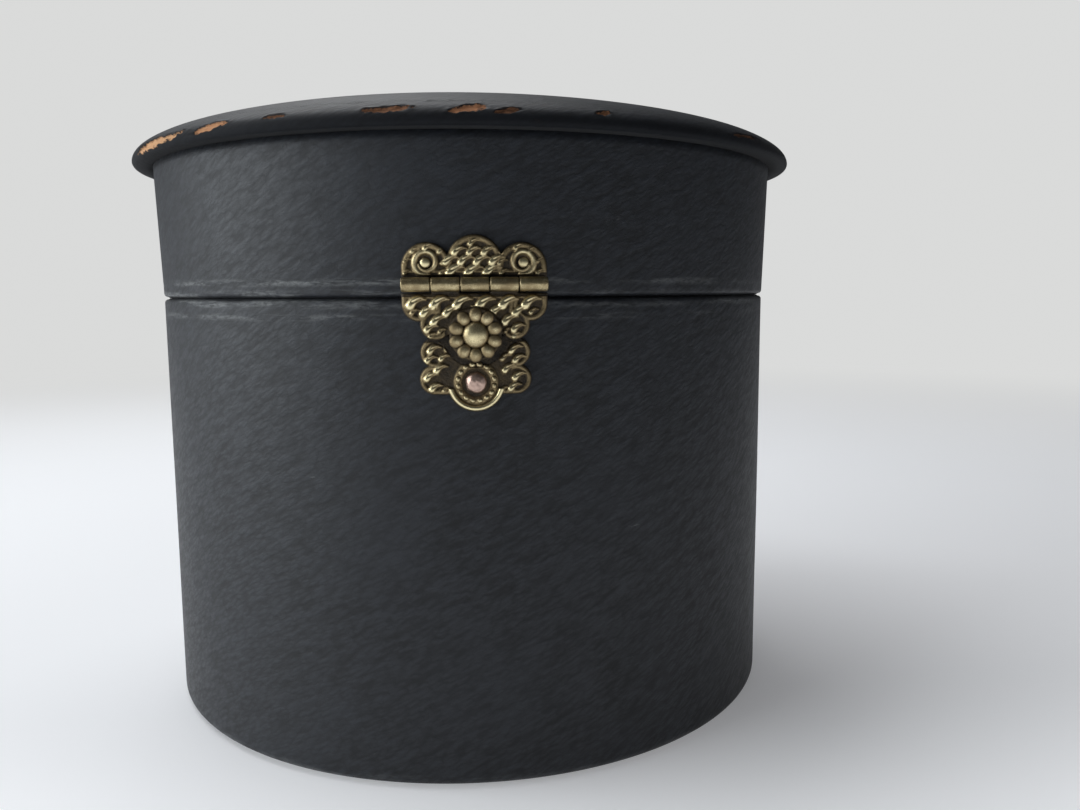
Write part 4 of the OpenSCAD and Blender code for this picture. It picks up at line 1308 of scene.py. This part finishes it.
def makeCupCover(s):
    # Gathered outside, drawn over the rim and down to the lining
    z0, z1, r = low("cup_cover")[2], high("cup_cover")[2], cupOuter
    t, e, inner = s["t"] * mm, s["rimR"] * mm, cupInner + s["overRim"] * mm
    face = fillLine([(r, z0), (r, z1 - e)], s["row"] * mm)
    top = arcPoints(r - e, z1 - e, e, 15, 90, 4) + [(inner + 0.25 * mm, z1), (inner, z1 - 0.2 * mm)]
    back = [(inner, z1 - t), (r - t, z1 - t), (r - t, z0)]
    shift = gatherShift(s, lambda n: n < len(face), z0, z1, -1)
    return linkPiece("cupCover", *lathe(face + top + back, s["segments"], True, shift))


def makeCupLid(s):
    # Board of the cup's lid wrapped in satin, with soft edges
    z0, z1 = low("cup_lid_board")[2], high("cup_lid_board")[2]
    r, e = high("cup_lid_board")[0], s["edgeR"] * mm
    edges = arcPoints(r - e, z0 + e, e, -90, 0, 5) + arcPoints(r - e, z1 - e, e, 0, 90, 5)
    profile = [(0.0, z0)] + edges + [(0.0, z1)]

    def soft(rr, z, a, n):
        sag = s["sag"] * mm * ripple(ringSpot(a, 1.0, z / mm * 0.1) * s["folds"])
        return rr - (sag if rr > r - e else 0), z

    return linkPiece("cupLidCover", *lathe(fillLine(profile, s["row"] * mm), s["segments"], False, soft))


finishPiece(makeCupCover(cup), "base", cupSatin, "satin_cup", "cup_cover")
finishPiece(makeCupLid(gathers["cupLid"]), "cup_lid", cupSatin, "satin_cup", "cup_lid_board")
print("linings and cup coverings made")


# Knob of the cup's lid, turned. Sizes in mm, heights from the underside of its foot

knob = {
    "stemR": 1.0, "stemH": 4.4, "footR": 3.6, "footEdgeR": 0.3, "ballR": 3.0, "ballUp": 4.4, "bandIn": 0.12,
    "waist": [(2.6, 0.75), (2.1, 0.98), (1.5, 1.05), (1.15, 1.3), (1.05, 1.6), (1.3, 1.85), (1.75, 1.95)],
    "tip": [(0.95, 2.72), (0.8, 2.95), (0, 3.0)],
}


def makeKnob(s):
    stem, ball, mid, e = s["stemR"], s["ballR"], s["ballUp"], s["footEdgeR"]
    foot = high("cup_lid_knob")[2] - (mid + ball) * mm
    profile = [(0, -s["stemH"]), (stem, -s["stemH"]), (stem, 0), (s["footR"] - e, 0)]
    profile += arcPoints(s["footR"] - e, e, e, -90, 90, 6) + s["waist"]
    profile += arcPoints(0, mid, ball, -54, 8, 12) + arcPoints(0, mid, ball - s["bandIn"], 12, 66, 9)
    profile += [(r, mid + up) for r, up in s["tip"]]
    verts, faces = lathe(fillLine(profile, 0.5), 64, False)
    verts = [(x * mm, y * mm, foot + z * mm) for x, y, z in verts]
    return linkPiece("cupLidKnob", verts, faces)


finishPiece(makeKnob(knob), "cup_lid", plainBrass, "plain_brass", "cup_lid_knob")


# Pads: satin blown up over wadding by a cloth simulation. edge, crown, cap and draw in mm

pads = {
    "ceiling": {
        "edge": 1.5, "crown": 3.4, "pressure": 0.7, "slack": 0.03, "cap": 1.8, "rings": 26, "segments": 200,
        "folds": 11, "draw": 0.9,
    },
    "floor": {
        "edge": 1.2, "crown": 1.1, "pressure": 0.8, "slack": 0.03, "cap": 1.0, "rings": 16, "segments": 200,
        "folds": 11, "draw": 0.6,
    },
    "cupLid": {
        "edge": 0.9, "crown": 2.9, "pressure": 1.4, "slack": 0.05, "cap": 0.9, "rings": 16, "segments": 128,
        "folds": 6, "draw": 0.7,
    },
}
blowSteps = 20


def padShape(s, r0, r1, z, up):
    # Crowned pad from radius r0 to r1 on a flat face at height z, swelling towards up (1 or -1)
    n = s["rings"]
    front = []
    for i in range(n + 1):
        t = i / n
        swell = math.cos(math.pi / 2 * t) if r0 == 0 else math.sin(math.pi * t)
        soft = min(1.0, (1 - t) * 9, 1.0 if r0 == 0 else t * 9)
        height = s["edge"] * math.sin(math.pi / 2 * max(0.12, soft)) + s["crown"] * swell
        front.append((r0 + (r1 - r0) * t, z + up * height * mm))
    back = [(r1, z)] + [(r0 + (r1 - r0) * t, z) for t in (0.75, 0.5, 0.25)] + [(r0, z)]
    profile = front + back

    def pucker(r, zz, a, i):  # gathers where the satin is drawn under at the rim
        t = (r - r0) / (r1 - r0)
        if i > n or t < 0.6:
            return r, zz
        fold = 1 - min(1.0, 2.4 * abs(noise.noise(ringSpot(a, s["folds"], t * 1.5))))
        drawn = fold * s["draw"] * min(1.0, (t - 0.6) * 4) * mm
        return r, z + (zz - z) * max(0.0, 1 - drawn / max(abs(zz - z), 1e-9))

    return lathe(profile, s["segments"], r0 > 0, pucker)


def puffUp(name, s, r0, r1, z, up):
    piece = linkPiece(name, *padShape(s, r0, r1, z, up))
    rest = np.array([v.co for v in piece.data.vertices])
    radius = np.hypot(rest[:, 0], rest[:, 1])
    held = (np.abs(rest[:, 2] - z) < 1e-6) | (radius > r1 - 1e-5)
    if r0:
        held |= radius < r0 + 1e-5
    group = piece.vertex_groups.new(name="held")
    group.add([int(i) for i in np.nonzero(held)[0]], 1.0, "REPLACE")
    cloth = piece.modifiers.new("puff", "CLOTH")
    c = cloth.settings
    c.quality, c.mass = 5, 0.2
    c.tension_stiffness, c.compression_stiffness, c.shear_stiffness, c.bending_stiffness = 15, 8, 5, 0.3
    c.use_pressure, c.uniform_pressure_force = True, s["pressure"]
    c.shrink_min = -s["slack"]
    c.effector_weights.gravity = 0
    c.vertex_group_mass = "held"
    cloth.point_cache.frame_start, cloth.point_cache.frame_end = 1, blowSteps
    for step in range(1, blowSteps + 1):
        bpy.context.scene.frame_set(step)
    view = bpy.context.evaluated_depsgraph_get()
    blown = np.array([v.co for v in piece.evaluated_get(view).data.vertices])
    move = blown - rest
    length = np.linalg.norm(move, axis=1, keepdims=True)
    move *= np.minimum(1, s["cap"] * mm / np.maximum(length, 1e-12))
    move[held] = 0
    piece.modifiers.remove(cloth)
    piece.vertex_groups.clear()
    piece.data.vertices.foreach_set("co", (rest + move).astype(np.float32).ravel())
    piece.data.update()
    bpy.context.scene.frame_set(1)
    print(name, "moved up to", round(float(length.max()) / mm, 2), "mm")
    smooth = piece.modifiers.new("smooth", "SUBSURF")
    smooth.levels = smooth.render_levels = 1
    return settled(name, piece)


def addPad(name, key, node, r0, up, body, material, slotName):
    r1 = high(node)[0] - 0.2 * mm
    z = low(node)[2] if up > 0 else high(node)[2]
    piece = puffUp(name, pads[key], r0, r1, z, up)
    finishPiece(piece, body, material, slotName, node)


addPad("lidCeilingPad", "ceiling", "lid_ceiling_pad", 0.0, -1, "lid", padSatin, "satin_lining")
addPad("floorPad", "floor", "floor_pad", cupOuter + 0.4 * mm, 1, "base", padSatin, "satin_lining")
stemGap = (knob["stemR"] + 0.2) * mm
addPad("cupLidPad", "cupLid", "cup_lid_pad", stemGap, 1, "cup_lid", cupPadSatin, "satin_cup")


# Pads shaped without simulation: a thin one in the cup and the wadding under the crown, in mm

cupFloor = {"edge": 0.75, "crown": 0.7, "pucker": 0.35, "steps": 16}
wadding = {"inset": 0.3, "lumps": 0.25, "steps": 40}


def makeCupFloorPad(s):
    r1, z0 = high("cup_floor_pad")[0], low("cup_floor_pad")[2]

    def soft(r, z, a, n):
        t = r / r1
        return r, z - (s["pucker"] * mm * ripple(ringSpot(a, 12, t * 2)) * t if z > z0 + 1e-6 else 0)

    steps = [i / s["steps"] for i in range(s["steps"] + 1)]
    front = [(r1 * t, z0 + (s["edge"] + s["crown"] * math.cos(math.pi / 2 * t)) * mm) for t in steps]
    return linkPiece("cupFloorPad", *lathe(front + [(r1, z0), (0.0, z0)], 160, False, soft))


def makeWadding(s):
    z0, inset = low("lid_crown_pad")[2], coverT + s["inset"] * mm
    curve = [crownPoint(crownEnd * i / s["steps"], inset) for i in range(s["steps"] + 1)]
    front = [point for point in curve if point[1] > z0]
    front[-1] = (0.0, front[-1][1])

    def lumpy(r, z, a, n):
        spot = Vector((r * math.sin(a), r * math.cos(a), z)) * 60
        return r, z - (s["lumps"] * mm * ripple(spot) if z > z0 + 1e-6 else 0)

    profile = fillLine([(0.0, z0), (front[0][0], z0)] + front, 6 * mm)
    return linkPiece("crownWadding", *lathe(profile, 160, False, lumpy))


finishPiece(makeCupFloorPad(cupFloor), "base", cupPadSatin, "satin_cup", "cup_floor_pad")
finishPiece(makeWadding(wadding), "lid", cotton, "wadding", "lid_crown_pad")
print("pads made")


# Finishes for the pieces that keep their frame shape

cadFinishes = {
    board: [
        "body_board", "base_board", "cup_base", "cup_wall", "cup_lid_plug", "lid_board", "lid_top_board",
    ],
    paperFinish(): ["base_paper"],
    plainBrass: ["hinge_pin", "clasp_pin"],
}
for material, names in cadFinishes.items():
    for name in names:
        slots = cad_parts[name].data.materials
        slots.clear()
        slots.append(material)
print("frame pieces finished")


# Studio: pale floor that runs into a pale backdrop, window light from the left

studio = {
    "floorSize": 30.0,
    "backColour": rgb(0.70, 0.705, 0.70),
    "lift": rgb(0.19, 0.19, 0.195),  # glow of the floor, which thins the shadow
    # stronger painted light: the floor's glow in front of the box
    "liftFront": rgb(0.47, 0.475, 0.485),
    "fadeStart": 230,  # mm from the box where the floor starts to pass into the backdrop
    "fadeEnd": 1100,
    "ambient": rgb(0.55, 0.58, 0.62),
    "ambientPower": 0.10,
    # name, place and aim (m), width and height (m), power (W), colour
    "lights": [
        ("windowLeft", (-1.7, -0.34, 0.42), (0, 0, 0.06), (1.7, 1.2), 29.5, (0.92, 0.97, 1.0)),
        ("skyTop", (-0.32, 0.34, 1.0), (0, 0, 0.1), (1.2, 0.9), 9.0, (0.98, 0.99, 1.0)),
        ("backWall", (0.0, 1.3, 0.34), (0, 0, 0.12), (2.6, 0.6), 0.5, (1.0, 1.0, 1.0)),
    ],
}


def floorFinish(s):
    f = Finish("paleFloor", Roughness=0.85, Specular_IOR_Level=0.15, Emission_Strength=1.0)
    x, y, z = f.place()
    drift = f.grain(f.vector(x, y, z), 0.004, 3.0, 0.5)
    shade = f.blend(drift, rgb(0.77, 0.78, 0.80), rgb(0.81, 0.82, 0.84))
    # painted light: the floor glows, more in front of the box, and so also lights the box from below
    lift = f.blend((y * -1).step(30, 150), s["lift"], s["liftFront"])
    f.feed(Base_Color=shade, Emission_Color=lift)
    glow = f.node("Emission", {}, {0: s["backColour"]})
    far = (x * x + y * y).root().step(s["fadeStart"], s["fadeEnd"])
    shaded = Wire(f, f.shader.outputs[0])
    mixed = f.node("MixShader", {}, {0: far * f.node("LightPath"), 1: shaded, 2: glow})
    f.tree.links.new(mixed.socket, f.tree.nodes["Material Output"].inputs[0])
    return f.material


def addLight(name, spot, target, size, power, colour):
    data = bpy.data.lights.new(name, "AREA")
    data.shape = "RECTANGLE"
    data.size, data.size_y = size
    data.energy = power
    data.color = colour
    aim = (Vector(target) - Vector(spot)).to_track_quat("-Z", "Y")
    addObject(name, data).matrix_world = Matrix.Translation(spot) @ aim.to_matrix().to_4x4()


def makeStudio(s):
    half = s["floorSize"] / 2
    corners = [(-half, -half, 0), (half, -half, 0), (half, half, 0), (-half, half, 0)]
    mesh = bpy.data.meshes.new("floor")
    mesh.from_pydata(corners, [], [(0, 1, 2, 3)])
    mesh.materials.append(floorFinish(s))
    addObject("floor", mesh)
    world = bpy.data.worlds.new("studio")
    world.use_nodes = True
    sky = Nodes(world.node_tree)
    ambient = sky.tree.nodes["Background"]
    ambient.inputs[0].default_value, ambient.inputs[1].default_value = s["ambient"], s["ambientPower"]
    seen = sky.add("ShaderNodeBackground", {}, {0: s["backColour"]})
    path, lit = sky.add("ShaderNodeLightPath"), Wire(sky, ambient.outputs[0])
    mixed = sky.add("ShaderNodeMixShader", {}, {0: path, 1: lit, 2: seen})
    sky.tree.links.new(mixed.socket, sky.tree.nodes["World Output"].inputs[0])
    bpy.context.scene.world = world
    for light in s["lights"]:
        addLight(*light)


makeStudio(studio)
bpy.context.scene.view_settings.view_transform = "Standard"
print("studio made")
